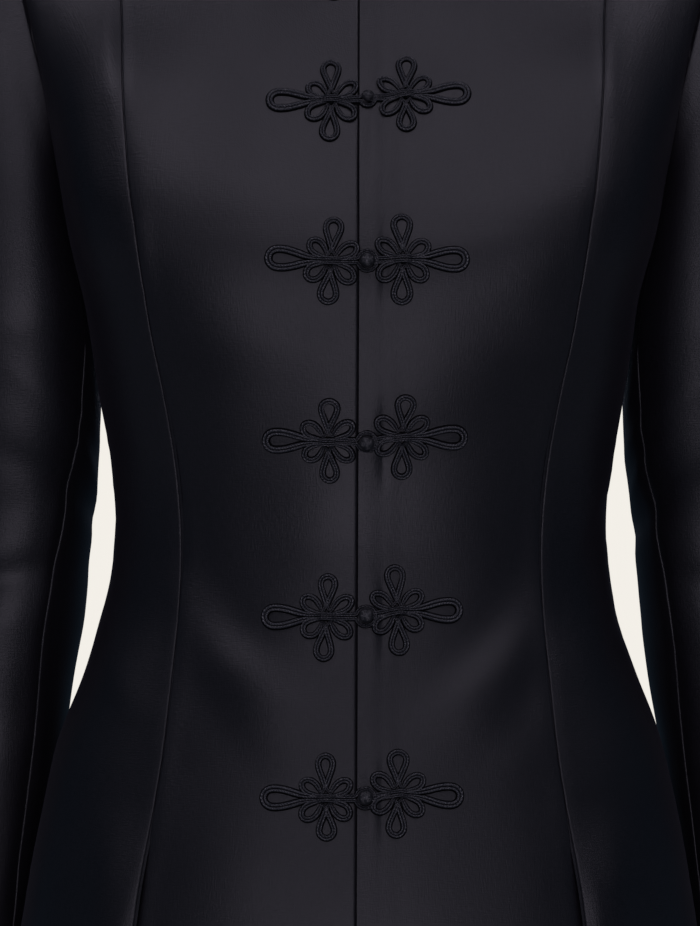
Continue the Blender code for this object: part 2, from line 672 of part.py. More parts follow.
def petal_outline(length, width, steps):
    """Outline of a looped petal along +x, and of the eye in it, both from the hub out and back."""
    q = np.linspace(0, np.pi, steps + 1)
    swell = np.sin(q) * (1 - petal_taper - petal_taper * np.cos(q))
    along = hub_radius + (length - hub_radius) * (1 - np.cos(q)) / 2
    aside = width / 2 * swell
    aside[-1] = 0.0
    outside = np.stack([along, aside], -1)
    eye_start, eye_end = hub_radius + braid / 2, length - braid
    eye_along = eye_start + (eye_end - eye_start) * (1 - np.cos(q)) / 2
    eye_aside = (width / 2 - braid * eye_squeeze) * swell
    eye_aside[0] = eye_aside[-1] = 0.0
    eye = np.stack([eye_along, eye_aside], -1)
    down = (1, -1)
    return (
        np.concatenate([outside * down, outside[-2::-1]]),
        np.concatenate([eye * down, eye[-2:0:-1]]),
    )


def turned(points, angle):
    c, s = math.cos(angle), math.sin(angle)
    return points @ np.array([[c, s], [-s, c]])


def frog_half(name, index, kind):
    """Flat looped braid: seven petals and a stem round a hub, with a button loop or a stem to the knot."""
    row = dict(zip(frog_columns, frogs[index]))
    hand = 1 if kind == "loop" else -1
    core_x = row["left_x"] if hand > 0 else row["right_x"]
    raise_up = 0.0 if hand > 0 else row["right_raise"]
    lean = math.radians(row["left_lean"] if hand > 0 else row["right_lean"])
    narrow, short = foreshortening(core_x, row["z"] + raise_up)
    level, drop = abs(knot_x - core_x) / narrow, raise_up / short
    to_knot = math.hypot(level, drop)
    stem_angle = -math.atan2(drop, level)
    angles = [math.radians(petal[0]) + lean for petal in petals.values()]
    around = [stem_angle] + angles
    points, top_faces, rim, eyes = [np.zeros(2)], [], [], []
    following_angle = np.append(around[1:], around[0] + 2 * np.pi)
    half_step = (following_angle - around) / 2
    valleys = [hub_radius * np.array([math.cos(a + h), math.sin(a + h)]) for a, h in zip(around, half_step)]

    def add(new):
        first = len(points)
        points.extend(new)
        return list(range(first, first + len(new)))

    valley_index = add(valleys)
    for number, angle in enumerate(around):
        before, after = valley_index[number - 1], valley_index[number]
        if number == 0:
            side = to_knot - ring_radius - (0.0 if hand > 0 else stem_end_gap)
            bar = np.array([[side, -stem_half_width], [side, stem_half_width]])
            if hand < 0:
                ends = add(turned(bar, angle))
                rim += [before] + ends
                top_faces += [[0, before, ends[0], ends[1], after]]
                continue
            opening = math.asin(stem_half_width / ring_radius)
            swing = np.linspace(np.pi + opening, 3 * np.pi - opening, ring_steps)
            hoop = np.stack([to_knot + ring_radius * np.cos(swing), ring_radius * np.sin(swing)], -1)
            hole = np.stack([to_knot + ring_hole * np.cos(swing), ring_hole * np.sin(swing)], -1)
            outside, eye = add(turned(hoop, angle)), add(turned(hole, angle))
            rim += [before] + outside
            eyes.append(eye)
            top_faces += [[0, before, outside[0], outside[-1], after]]
            for k in range(ring_steps - 1):
                top_faces.append([outside[k], outside[k + 1], eye[k + 1], eye[k]])
            top_faces.append([outside[-1], outside[0], eye[0], eye[-1]])
            continue
        _, length, width, steps = list(petals.values())[number - 1]
        outside, eye = petal_outline(length, width, steps)
        outer = [before] + add(turned(outside[1:-1], angle)) + [after]
        inner = add(turned(eye, angle))
        rim += outer[:-1]
        eyes.append(inner)
        top_faces.append([0, before, inner[0], after])
        for k in range(2 * steps):
            top_faces.append([outer[k], outer[k + 1], inner[(k + 1) % (2 * steps)], inner[k]])
    rims = [rim] + [eye[::-1] for eye in eyes]
    flat = np.array(points) * (hand, 1)
    count = len(flat)
    low = np.column_stack([flat, np.full(count, frog_lift)])
    high = np.column_stack([flat, np.full(count, frog_lift + frog_thickness)])
    placed = on_front(np.concatenate([high, low]), row["z"] + raise_up, core_x)
    faces = top_faces + [[corner + count for corner in face[::-1]] for face in top_faces]
    for loop in rims:
        for k, corner in enumerate(loop):
            following = loop[(k + 1) % len(loop)]
            faces.append([corner, corner + count, following + count, following])
    if hand < 0:
        faces = [face[::-1] for face in faces]
    return mesh_object(name, placed, faces, soutache)


def knot(name, index):
    """Ball knot, turned about the cloth's normal, with its foot in the loop."""
    outline = np.array(list(knot_outline.values()))
    swing = np.arange(knot_sides) * 2 * np.pi / knot_sides
    rings = np.stack(
        [
            np.multiply.outer(outline[:, 0], np.cos(swing)),
            np.multiply.outer(outline[:, 0], np.sin(swing)),
            np.multiply.outer(outline[:, 1], np.ones(knot_sides)),
        ],
        -1,
    ).reshape(-1, 3)
    placed = on_front(rings, frogs[index][0], knot_x)
    faces = [list(range(knot_sides))[::-1]]
    for row in range(len(outline) - 1):
        for k in range(knot_sides):
            a, b = row * knot_sides + k, row * knot_sides + (k + 1) % knot_sides
            faces.append([a, b, b + knot_sides, a + knot_sides])
    faces.append([(len(outline) - 1) * knot_sides + k for k in range(knot_sides)])
    return mesh_object(name, placed, faces, knot_cloth)


tree_of_fronts = fronts_tree()


def fastenings():
    for index in frogs:
        frog_half(f"frog_loop_{index}", index, "loop")
        frog_half(f"frog_knot_{index}", index, "knot")
        knot(f"knot_{index}", index)


body_panels()
sleeves()
collar()
fastenings()
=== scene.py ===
# Fitted tang jacket in black satin, as worn: shells for the cloth, braided frogs and ball knots.
# Metres, +Z up, the fronts face -Y. "left" and "right" are the sides seen from the front.
import math

import bpy
import numpy as np
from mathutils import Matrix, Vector


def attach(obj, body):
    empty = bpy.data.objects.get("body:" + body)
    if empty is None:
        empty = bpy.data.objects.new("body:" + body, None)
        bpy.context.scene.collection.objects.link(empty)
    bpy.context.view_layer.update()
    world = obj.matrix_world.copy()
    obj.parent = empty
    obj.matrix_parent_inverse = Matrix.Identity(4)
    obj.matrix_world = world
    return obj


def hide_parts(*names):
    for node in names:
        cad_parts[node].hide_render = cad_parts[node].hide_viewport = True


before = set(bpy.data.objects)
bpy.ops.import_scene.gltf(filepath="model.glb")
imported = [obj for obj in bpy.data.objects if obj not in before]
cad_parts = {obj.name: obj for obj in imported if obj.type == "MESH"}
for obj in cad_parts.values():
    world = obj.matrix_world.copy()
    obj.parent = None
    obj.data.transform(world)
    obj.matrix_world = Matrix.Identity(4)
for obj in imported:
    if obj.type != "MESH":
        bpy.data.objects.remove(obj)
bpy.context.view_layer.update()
print("frame loaded:", len(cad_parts), "nodes")


def linear(hexColour):
    # sRGB hex to linear RGBA
    parts = np.array([int(hexColour[i : i + 2], 16) / 255 for i in (1, 3, 5)])
    parts = np.where(parts <= 0.04045, parts / 12.92, ((parts + 0.055) / 1.055) ** 2.4)
    return (*parts.tolist(), 1.0)


def setNode(tree, node, settings=None, links=None):
    # gives a node its settings (properties or sockets) and the sockets that feed it
    for key, value in (settings or {}).items():
        if isinstance(key, str) and hasattr(node, key):
            setattr(node, key, value)
        else:
            node.inputs[key].default_value = value
    for key, source in (links or {}).items():
        tree.links.new(source, node.inputs[key])
    return node


def addNode(tree, kind, settings=None, links=None):
    return setNode(tree, tree.nodes.new("ShaderNode" + kind), settings, links)


def smooth(low, high, value):
    # 0 at low, 1 at high, an S curve between
    t = np.clip((value - low) / (high - low), 0, 1)
    return t * t * (3 - 2 * t)


def sizeOf(vectors):
    return np.linalg.norm(vectors, axis=-1)


def unit(vectors):
    return vectors / sizeOf(vectors)[..., None]


def paired(rows, columns):
    # a grid of pairs, such as UVs, from a value for each row and one for each column
    return np.stack(np.broadcast_arrays(rows, columns), -1)


def addObject(name, data):
    made = bpy.data.objects.new(name, data)
    bpy.context.scene.collection.objects.link(made)
    return made


def emptyTree(owner):
    owner.use_nodes = True
    owner.node_tree.nodes.clear()
    return owner.node_tree


# Materials

# colours, then roughness, sheen and bump of a satin, or thread pitch, depth, roughness and gleam of a cord
finishes = dict(
    satin=("#08070A", "#151318", 0.42, 0.04, 0.9), reverse=("#100F12", "#100F12", 0.62, 0.15, 0.5),
    sheenTint="#B9B4C6", sheenRough=0.38, threadPitch=0.00085, threadDepth=0.00012,
    grains=((1, 0.16), (0.2, 1.1)), cloudScale=9.0,
    soutache=("#0C0C0F", "#2E2E34", 0.00165, 0.00034, 0.36, 1.0),
    knotCord=("#0C0C0F", "#1E1E22", 0.0012, 0.0001, 0.42, 0.8), fuzzScale=1400.0,
    # painted shade for the braid's dark outline: colour, roughness, gleam and bump scale of its near-black
    # material
    outlineShadeColour="#050507", footRough=0.95, footGleam=0.12, outlineBumpScale=1100.0,
)


def newMaterial(name):
    made = bpy.data.materials.new(name)
    tree = emptyTree(made)
    shader = addNode(tree, "BsdfPrincipled")
    addNode(tree, "OutputMaterial", links={"Surface": shader.outputs["BSDF"]})
    return made, tree, shader


def addNoise(tree, place, scale, detail=2.0, rough=0.5):
    settings = {"Scale": scale, "Detail": detail, "Roughness": rough}
    return addNode(tree, "TexNoise", settings, {"Vector": place}).outputs["Fac"]


def addMath(tree, operation, *inputs):
    # numbers are set on their sockets, and outputs of other nodes are linked
    numbers = {k: each for k, each in enumerate(inputs) if isinstance(each, float)}
    links = {k: each for k, each in enumerate(inputs) if k not in numbers}
    return addNode(tree, "Math", {"operation": operation, **numbers}, links).outputs["Value"]


def addRange(tree, value, low, high, first=0.0, last=1.0):
    settings = {"From Min": low, "From Max": high, "To Min": first, "To Max": last}
    return addNode(tree, "MapRange", settings, {"Value": value}).outputs["Result"]


def addTint(tree, value, low, high, dark, light):
    # dark where the value is low, light where it is high
    links = {"Factor": addRange(tree, value, low, high)}
    return addNode(tree, "Mix", {"data_type": "RGBA", 6: linear(dark), 7: linear(light)}, links).outputs[2]


def addBump(tree, height, strength, depth):
    settings = {"Strength": strength, "Distance": depth}
    return addNode(tree, "Bump", settings, {"Height": height}).outputs["Normal"]


def makeSatin(name, dark, light, rough, sheen, weave):
    # duchesse satin: warp-faced polyester whose long floats give a broad soft sheen and hide the weft;
    # the threads are 0.2 mm apart, too fine to show, so the grain is drawn about four times coarser
    made, tree, shader = newMaterial(name)
    flat = addNode(tree, "UVMap", {"uv_map": "cloth"}).outputs["UV"]
    place = addNode(tree, "TexCoord").outputs["Object"]
    pitch, threads = finishes["threadPitch"], []
    for across, along in finishes["grains"]:
        stretched = addNode(tree, "Mapping", {"Scale": (across / pitch, along / pitch, 1)}, {"Vector": flat})
        threads.append(addNoise(tree, stretched.outputs["Vector"], 1.0, rough=0.6))
    grain = addMath(tree, "ADD", *threads)
    cloud = addNoise(tree, place, finishes["cloudScale"], 4.0, 0.55)
    settings = {"Sheen Weight": sheen, "Sheen Roughness": finishes["sheenRough"]}
    settings["Sheen Tint"] = linear(finishes["sheenTint"])
    setNode(tree, shader, settings, {
        "Base Color": addTint(tree, grain, 0.7, 1.3, dark, light),
        "Roughness": addRange(tree, cloud, 0.3, 0.7, rough - 0.03, rough + 0.04),
        "Normal": addBump(tree, grain, weave, finishes["threadDepth"]),
    })
    return made


def makeBraid(name, dark, light, pitch, depth, rough, gleam):
    # rayon soutache: fine threads plaited over two cords, so each ridge shows slanting stitches and a gleam
    made, tree, shader = newMaterial(name)
    flat = addNode(tree, "UVMap", {"uv_map": "cloth"}).outputs["UV"]
    place = addNode(tree, "TexCoord").outputs["Object"]
    spread = addNode(tree, "SeparateXYZ", links={"Vector": flat})
    slant = addMath(tree, "MULTIPLY_ADD", addMath(tree, "ABSOLUTE", spread.outputs["Y"]), 0.9, spread.outputs["X"])
    wave = addMath(tree, "SINE", addMath(tree, "MULTIPLY", slant, 2 * math.pi / pitch))
    height = addMath(tree, "MULTIPLY_ADD", wave, 0.5, addNoise(tree, place, finishes["fuzzScale"]))
    # the colour follows the stitches' height: the threads' own dark tone, with painted highlight on their crests
    # and painted shade in the grooves between them
    setNode(tree, shader, {"Roughness": rough, "Specular IOR Level": gleam}, {
        "Base Color": addTint(tree, height, -0.2, 1.2, dark, light), "Normal": addBump(tree, height, 1.0, depth),
    })
    return made


def makePaintedOutlineShade():
    # painted shade: a near-black, rough and almost lightless material on each strand's foot and groove floor, so
    # each strand has a dark outline that stands in for the contact shadow round the braid and the shade in its
    # groove and in the loops' eyes
    made, tree, shader = newMaterial("sewnFoot")
    stitches = addNoise(tree, addNode(tree, "TexCoord").outputs["Object"], finishes["outlineBumpScale"])
    settings = {"Base Color": linear(finishes["outlineShadeColour"]), "Roughness": finishes["footRough"]}
    settings["Specular IOR Level"] = finishes["footGleam"]
    setNode(tree, shader, settings, {"Normal": addBump(tree, stitches, 0.4, 0.0001)})
    return made


sewnFoot = makePaintedOutlineShade()
satin = makeSatin("blackSatin", *finishes["satin"])
satinReverse = makeSatin("satinReverse", *finishes["reverse"])
soutache = makeBraid("soutacheBraid", *finishes["soutache"])
knotCord = makeBraid("knottedCord", *finishes["knotCord"])


# The cut: the same named sizes and sections as the solids

cut = dict(
    hemZ=-0.69, armpitZ=-0.237, chestSpan=0.18,
    widestX=0.169, neckWidth=0.066, neckFront=0.05, neckBack=0.058,
    tipX=0.212, tipY=0.004, shoulderDrop=0.045, ridgeRise=0.012,
    armholeSlope=0.25, footFlare=0.0105, flarePower=6,
    armholeSpread=0.084, spreadPower=2.2, columnFlare=1.2, tipPlace=1.15,
    cuffZ=-0.665, bicepZ=-0.3, sleeveClearance=0.0012, softTouch=0.004, sideFlare=0.19, touchFade=0.012,
    nearer=0.0032, nearFrom=-0.3, nearTo=-0.245,
    leaveArmpit=(0.006, -0.06), leaveTip=(0.135, 0.01), leaveForward=0.014, hangDepth=0.12,
    slopeStep=0.004, sleeveColumns=18, frontSleeveSeam=7, backSleeveSeam=12,
)
hemZ, armpitZ, cuffZ, bicepZ = (cut[key] for key in ("hemZ", "armpitZ", "cuffZ", "bicepZ"))
neckWidth, tipX, shoulderDrop = (cut[key] for key in ("neckWidth", "tipX", "shoulderDrop"))

# z, half width, front depth, back depth, princess seam x in front and behind, roundness of the section
bodyLevels = np.array([
    (-0.69, 0.2045, 0.13, 0.134, 0.1318, 0.106, 2.2),
    (-0.632, 0.1965, 0.127, 0.129, 0.1252, 0.1, 2.2),
    (-0.585, 0.1882, 0.122, 0.121, 0.119, 0.093, 2.2),
    (-0.54, 0.178, 0.115, 0.11, 0.112, 0.085, 2.2),
    (-0.497, 0.162, 0.108, 0.098, 0.1075, 0.079, 2.2),
    (-0.459, 0.15, 0.102, 0.088, 0.104, 0.075, 2.15),
    (-0.42, 0.145, 0.099, 0.083, 0.103, 0.075, 2.15),
    (-0.379, 0.147, 0.103, 0.085, 0.106, 0.084, 2.2),
    (-0.338, 0.154, 0.112, 0.091, 0.1125, 0.096, 2.4),
    (-0.3, 0.1595, 0.1195, 0.097, 0.12, 0.108, 2.75),
    (-0.268, 0.164, 0.1222, 0.101, 0.1244, 0.119, 3.1),
    (-0.252, 0.1665, 0.121, 0.1025, 0.1256, 0.124, 3.25),
    (-0.237, 0.169, 0.1182, 0.104, 0.1267, 0.129, 3.3),
])
halfWidth, frontDepth, backDepth, princessFront, princessBack, roundness = range(1, 7)

# z, axis x and y, radii across and fore-and-aft, turn of the grain in degrees
sleeveLevels = np.array([
    (-0.665, 0.2345, 0.052, 0.04, 0.0445, -7),
    (-0.6, 0.229, 0.05, 0.0425, 0.047, -8),
    (-0.53, 0.2205, 0.046, 0.045, 0.0505, -11),
    (-0.47, 0.213, 0.04, 0.047, 0.0535, -16),
    (-0.41, 0.2085, 0.033, 0.0485, 0.056, -7),
    (-0.355, 0.207, 0.022, 0.0515, 0.059, 1),
    (-0.3, 0.2085, 0.012, 0.055, 0.062, 8),
])
axisX, axisY, radiusX, radiusY, grainTurn = range(1, 6)

# how far out each sleeve hangs below the biceps, and how much further its grain is turned
sleeveHang = {-1: (0.0, 0), 1: (0.003, 8)}

# how strongly a column leaves the armpits' level and runs into the shoulder line, centre to side
frontPull = np.array([(0.17, 0.07), (0.2, 0.1), (0.2, 0.1), (0.2, 0.06)])
backPull = np.array([(0.3, 0.3), (0.28, 0.22), (0.22, 0.12), (0.2, 0.06)])


def columnAt(levels, column, z):
    # a table's column at heights z, on a cubic curve through its rows
    heights, values = levels[:, 0], levels[:, column]
    slopes = np.gradient(values, heights)
    z = np.clip(z, heights[0], heights[-1])
    low = np.clip(np.searchsorted(heights, z, side="right") - 1, 0, len(heights) - 2)
    step = heights[low + 1] - heights[low]
    s = (z - heights[low]) / step
    rising = s * s * (3 - 2 * s)
    enter, leave = s * (1 - s) ** 2 * step, -s * s * (1 - s) * step
    return values[low] * (1 - rising) + values[low + 1] * rising + enter * slopes[low] + leave * slopes[low + 1]


def bodyAt(column, z):
    return columnAt(bodyLevels, column, z)


def turnAt(x, z):
    # angle round the front half of a section at which it is x wide
    share = np.clip(np.abs(x) / bodyAt(halfWidth, z), 0, 1)
    return np.sign(x) * np.arcsin(share ** (bodyAt(roundness, z) / 2))


def section(z, turn):
    # a superellipse: x = width * sin^p, y = depth * cos^p, turn 0 at the centre front, pi at the back
    power = 2 / bodyAt(roundness, z)
    sine, cosine = np.sin(turn), np.cos(turn)
    depth = np.where(cosine > 0, -bodyAt(frontDepth, z), bodyAt(backDepth, z))
    x = bodyAt(halfWidth, z) * np.sign(sine) * np.abs(sine) ** power
    return np.stack([x, depth * np.abs(cosine) ** power, z + 0 * x], axis=-1)


def shoulderLine(x):
    along = (x - neckWidth) / (tipX - neckWidth)
    inside = cut["ridgeRise"] * (1 - np.clip(x / neckWidth, 0, 1) ** 2)
    z = np.where(x < neckWidth, inside, -shoulderDrop * along)
    return np.stack([x, cut["tipY"] * np.clip(along, 0, None), z], axis=-1)


def armholeX(z):
    # down and in from the shoulder tip, and out again at its foot
    down = -shoulderDrop - z
    foot = np.clip(down / (-shoulderDrop - armpitZ), 0, None) ** cut["flarePower"]
    return tipX - cut["armholeSlope"] * down + cut["footFlare"] * foot


neckTurn = float(turnAt(neckWidth, armpitZ))


def column(turn, share):
    # cubic columns that rise from the armpits' section to the shoulder line
    start = section(np.full(turn.shape, armpitZ), turn)
    below = section(np.full(turn.shape, armpitZ - cut["slopeStep"]), turn)
    reach = np.clip((start[..., 0] - neckWidth) / (cut["widestX"] - neckWidth), 0, 1)
    end = shoulderLine(start[..., 0] + cut["armholeSpread"] * reach ** cut["spreadPower"])
    half = np.where(turn <= np.pi / 2, turn, np.pi - turn)
    places = (0, neckTurn, cut["tipPlace"], np.pi / 2)
    leave, arrive = (
        np.where(turn <= np.pi / 2, *(np.interp(half, places, pull[:, k]) for pull in (frontPull, backPull)))
        for k in range(2)
    )
    rise = (start - below) / cut["slopeStep"] * leave[..., None]
    widen = cut["columnFlare"] * (end[..., 0] - start[..., 0])
    slope = -shoulderDrop / (tipX - neckWidth)
    run = np.stack([widen, arrive * np.where(turn <= np.pi / 2, 1, -1), widen * slope], axis=-1)
    s = np.asarray(share)[..., None]
    bend = s * s * (3 - 2 * s)
    return start * (1 - bend) + end * bend + s * (1 - s) ** 2 * rise - s * s * (1 - s) * run


# how finely the trim is looked for, round the body and up a column
trimSize = (1441, 241)


def trimmedShares():
    # how far up each column reaches before the neck's ellipse or the armhole's slanting plane cuts it
    turns, shares = np.linspace(0, np.pi, trimSize[0]), np.linspace(0, 1, trimSize[1])
    points = column(turns[:, None] + 0 * shares, shares + 0 * turns[:, None])
    depth = np.where(points[..., 1] < 0, cut["neckFront"], cut["neckBack"])
    outsideNeck = (points[..., 0] / neckWidth) ** 2 + (points[..., 1] / depth) ** 2 - 1
    insideArmhole = (armholeX(points[..., 2]) - points[..., 0]) / neckWidth
    room = np.minimum(outsideNeck, insideArmhole)
    room[:, :5] = 1
    room[:, -1] = np.where(room[:, -1] > -1e-6, -1e-9, room[:, -1])
    cutAt = np.argmax(room < 0, axis=1)
    row = np.arange(len(turns))
    above, under = room[row, cutAt], room[row, cutAt - 1]
    return turns, shares[cutAt - 1] + (shares[cutAt] - shares[cutAt - 1]) * under / (under - above)


trimTurns, trimShares = trimmedShares()
topZ = armpitZ + cut["chestSpan"]
tipTurn = float(trimTurns[(trimTurns < np.pi / 2) & (trimShares > 0.9999)].max())


def smoothBody(height, turn):
    # the body's outer surface; above the armpits height runs on along the rising columns
    height, turn = np.broadcast_arrays(np.asarray(height, float), np.asarray(turn, float))
    low = section(np.minimum(height, armpitZ), turn)
    mirror = np.where(turn < 0, -1.0, 1.0)[..., None] * np.array([1, 0, 0]) + np.array([0, 1, 1])
    rising = np.clip((height - armpitZ) / cut["chestSpan"], 0, None)
    share = rising * np.interp(np.abs(turn), trimTurns, trimShares)
    high = column(np.abs(turn), share) * mirror
    return np.where((height > armpitZ)[..., None], high, low)


def armhole(angle):
    # the armhole's curve: angle 0 at the shoulder tip, through the front, pi at the armpit
    angle = (angle + np.pi) % (2 * np.pi) - np.pi
    turn = tipTurn + (np.pi / 2 - tipTurn) * np.abs(angle) / np.pi
    return smoothBody(topZ, np.where(angle < 0, np.pi - turn, turn))


footZ = float(armhole(np.array(np.pi))[2])


def standOff(points):
    # how far a sleeve's points stand off the body's side, and how fully they may touch it
    z = np.clip(points[..., 2], hemZ, armpitZ)
    above = np.clip(points[..., 2] - armpitZ, 0, None)
    depth = np.where(points[..., 1] < 0, bodyAt(frontDepth, z), bodyAt(backDepth, z))
    power = bodyAt(roundness, z)
    share = np.clip(np.abs(points[..., 1]) / depth, 0, 1)
    side = (bodyAt(halfWidth, z) + cut["sideFlare"] * above) * (1 - share**power) ** (1 / power)
    return points[..., 0] - side, np.clip((footZ - points[..., 2]) / cut["touchFade"], 0, 1)


def clearOfBody(points):
    # pushes a sleeve's points out to just clear of the body's side, softly, where the two touch
    room, touching = standOff(points)
    near = smooth(cut["nearFrom"], cut["nearTo"], points[..., 2])
    room, soft = room - cut["sleeveClearance"] + cut["nearer"] * near, cut["softTouch"]
    pushed = np.where(room > soft, room, soft * np.exp(np.clip(room / soft, -8, 1) - 1))
    moved = points.copy()
    moved[..., 0] += touching * (pushed - room)
    return moved


def hanging(z):
    # 0 at the biceps, 1 where a sleeve hangs its full way out
    return smooth(0, cut["hangDepth"], bicepZ - z)


def smoothSleeve(height, angle, side):
    # rings up to the biceps, then cubic columns from the last ring into the armhole
    height, angle = np.broadcast_arrays(np.asarray(height, float), np.asarray(angle, float))

    def ring(z):
        middle = columnAt(sleeveLevels, axisX, z) + sleeveHang[side][0] * hanging(z)
        x = middle + columnAt(sleeveLevels, radiusX, z) * np.cos(angle)
        y = columnAt(sleeveLevels, axisY, z) - columnAt(sleeveLevels, radiusY, z) * np.sin(angle)
        return np.stack([x, y, z + 0 * x], axis=-1)

    low = ring(np.minimum(height, bicepZ))
    s = (np.clip(height - bicepZ, 0, None) / (armpitZ - bicepZ))[..., None]
    start, end = ring(np.full(angle.shape, bicepZ)), armhole(angle)
    below = ring(np.full(angle.shape, bicepZ - cut["slopeStep"]))
    rise = (start - below) / cut["slopeStep"]
    reach = np.linalg.norm(end - start, axis=-1, keepdims=True)
    top = (1 + np.cos(angle)) / 2
    (lowX, lowZ), (highX, highZ) = cut["leaveArmpit"], cut["leaveTip"]
    forward = -cut["leaveForward"] * np.sin(angle)
    leaving = [lowX + (highX - lowX) * top, forward, lowZ + (highZ - lowZ) * top]
    bend = s * s * (3 - 2 * s)
    high = start * (1 - bend) + end * bend
    high = high + s * (1 - s) ** 2 * rise * reach + s * s * (1 - s) * np.stack(leaving, axis=-1)
    return clearOfBody(np.where((height > bicepZ)[..., None], high, low))


def normalsOf(surface, first, second, stepFirst, stepSecond):
    # unit normals of a surface of two parameters, across its differences
    along = surface(first + stepFirst, second) - surface(first - stepFirst, second)
    across = surface(first, second + stepSecond) - surface(first, second - stepSecond)
    normal = np.cross(across, along)
    return normal / np.maximum(np.linalg.norm(normal, axis=-1, keepdims=True), 1e-12)


# Cloth: how a shell is drawn, how its seams roll in, and its folds

cloth = dict(
    wall=0.0014, hemWall=0.0022, hemDepth=0.03, hemRoll=0.0014, hemStitch=0.0285, stitchBreadth=0.0022,
    rollRadius=0.001, rollShare=0.92, seamDip=0.0003, dipBreadth=0.0016,
    ridgeHeight=0.00022, ridgePlace=0.0062, ridgeBreadth=0.004,
    puckerHeight=0.0001, puckerLength=0.0125, puckerReach=0.012, calmTop=0.02, calmSide=0.01,
    unevenHeight=0.0009, strokeEnd=(-0.18, 0.32), tuck=0.0014, sharpAngle=60,
)
# distances of a shell's rows and columns from its edge
edgeSteps = np.array([0, 8e-5, 22e-5, 42e-5, 66e-5, 0.001, 0.0016, 0.0026, 0.004, 0.006, 0.0085, 0.0115])


def turnedIn(distance, radius):
    # how far an edge drops as a quarter circle, within a radius of its end
    inside = np.clip(radius - distance, 0, radius)
    return radius - np.sqrt(np.maximum(radius**2 - inside**2, 0))


def bell(distance, breadth):
    return np.exp(-((distance / breadth) ** 2))


def rolled(distance):
    # the cloth's edge turns in at a seam: a quarter circle, a shallow dip, then the ridge of the allowance
    dip = cloth["seamDip"] * np.exp(-distance / cloth["dipBreadth"])
    ridge = cloth["ridgeHeight"] * bell(distance - cloth["ridgePlace"], cloth["ridgeBreadth"])
    return ridge - dip - turnedIn(distance, cloth["rollRadius"]) * cloth["rollShare"]


def puckered(distance, along, phase):
    # short uneven waves across a seam, that die out a centimetre from it
    pitch = 2 * np.pi / cloth["puckerLength"]
    wave = np.sin(along * pitch + phase) + 0.6 * np.sin(along * pitch * 0.61 + 2.1 * phase + 1.0)
    strength = 0.5 + 0.5 * np.sin(along * 23.0 + phase * 1.7)
    return cloth["puckerHeight"] * wave * strength * bell(distance, cloth["puckerReach"])


# crossed waves: radians a metre across, fore-and-aft and up, share of the phase, share of the height
unevenWaves = ((71, 12, 19, 1.0, 0.45), (-38, 25, 47, 1.7, 0.35), (23, 31, -88, 0.6, 0.3))


def uneven(points, phase):
    # long shallow swells of a few decimetres' cloth
    waves = (share * np.sin(points @ (x, y, z) + late * phase) for x, y, z, late, share in unevenWaves)
    return cloth["unevenHeight"] * sum(waves) / 1.1


def stroked(across, up, strokes):
    # soft ridges (rise > 0) and troughs along bent strokes: a bell across, faded at both ends
    lift = np.zeros(np.broadcast(across, up).shape)
    for x0, z0, x1, z1, bend, breadth, rise in strokes:
        run = math.hypot(x1 - x0, z1 - z0)
        dx, dz = (x1 - x0) / run, (z1 - z0) / run
        along = ((across - x0) * dx + (up - z0) * dz) / run
        beside = (up - z0) * dx - (across - x0) * dz - bend * 4 * along * (1 - along)
        fade = smooth(*cloth["strokeEnd"], along) * smooth(*cloth["strokeEnd"], 1 - along)
        lift += rise * fade * bell(beside, breadth)
    return lift


def distanceTo(points, line):
    # distance of each point to a polyline, segment by segment
    start, step = line[:-1], np.diff(line, axis=0)
    size = np.maximum((step**2).sum(-1), 1e-18)
    flat = points.reshape(-1, 3)
    nearest = np.full(len(flat), 1e9)
    for a, d, s in zip(start, step, size):
        t = np.clip(((flat - a) @ d) / s, 0, 1)
        nearest = np.minimum(nearest, ((flat - a - t[:, None] * d) ** 2).sum(-1))
    return np.sqrt(nearest).reshape(points.shape[:-1])


def runAlong(points, axis):
    # length run along a grid's rows or columns, from its first point
    steps = sizeOf(np.diff(points, axis=axis))
    zero = np.zeros_like(np.take(steps, [0], axis=axis))
    return np.concatenate([zero, np.cumsum(steps, axis=axis)], axis=axis)


def meshObject(name, points, quads, slots, materials, uv):
    # a mesh from whole arrays: points, faces of four corners, a material number for each, a UV for each point
    mesh = bpy.data.meshes.new(name)
    mesh.vertices.add(len(points))
    mesh.vertices.foreach_set("co", np.asarray(points, np.float32).ravel())
    mesh.loops.add(quads.size)
    mesh.loops.foreach_set("vertex_index", quads.astype(np.int32).ravel())
    mesh.polygons.add(len(quads))
    mesh.polygons.foreach_set("loop_start", np.arange(0, quads.size, 4, dtype=np.int32))
    mesh.polygons.foreach_set("material_index", np.asarray(slots, np.int32))
    mesh.update(calc_edges=True)
    layer = mesh.uv_layers.new(name="cloth")
    layer.uv.foreach_set("vector", np.asarray(uv, np.float32)[quads.ravel()].ravel())
    for each in materials:
        mesh.materials.append(each)
    mesh.validate()
    mesh.shade_smooth()
    return addObject(name, mesh)


def tucked(inner, points, seams):
    # the reverse runs on past each seam, under its neighbour, so that no light comes through
    def past(edge, within):
        return cloth["tuck"] * unit(edge - within)

    if seams[0]:
        inner[:, 0] += past(points[:, 0], points[:, 5])
    if seams[1]:
        inner[:, -1] += past(points[:, -1], points[:, -6])
    inner[-1] += past(points[-1], points[-4])
    return inner


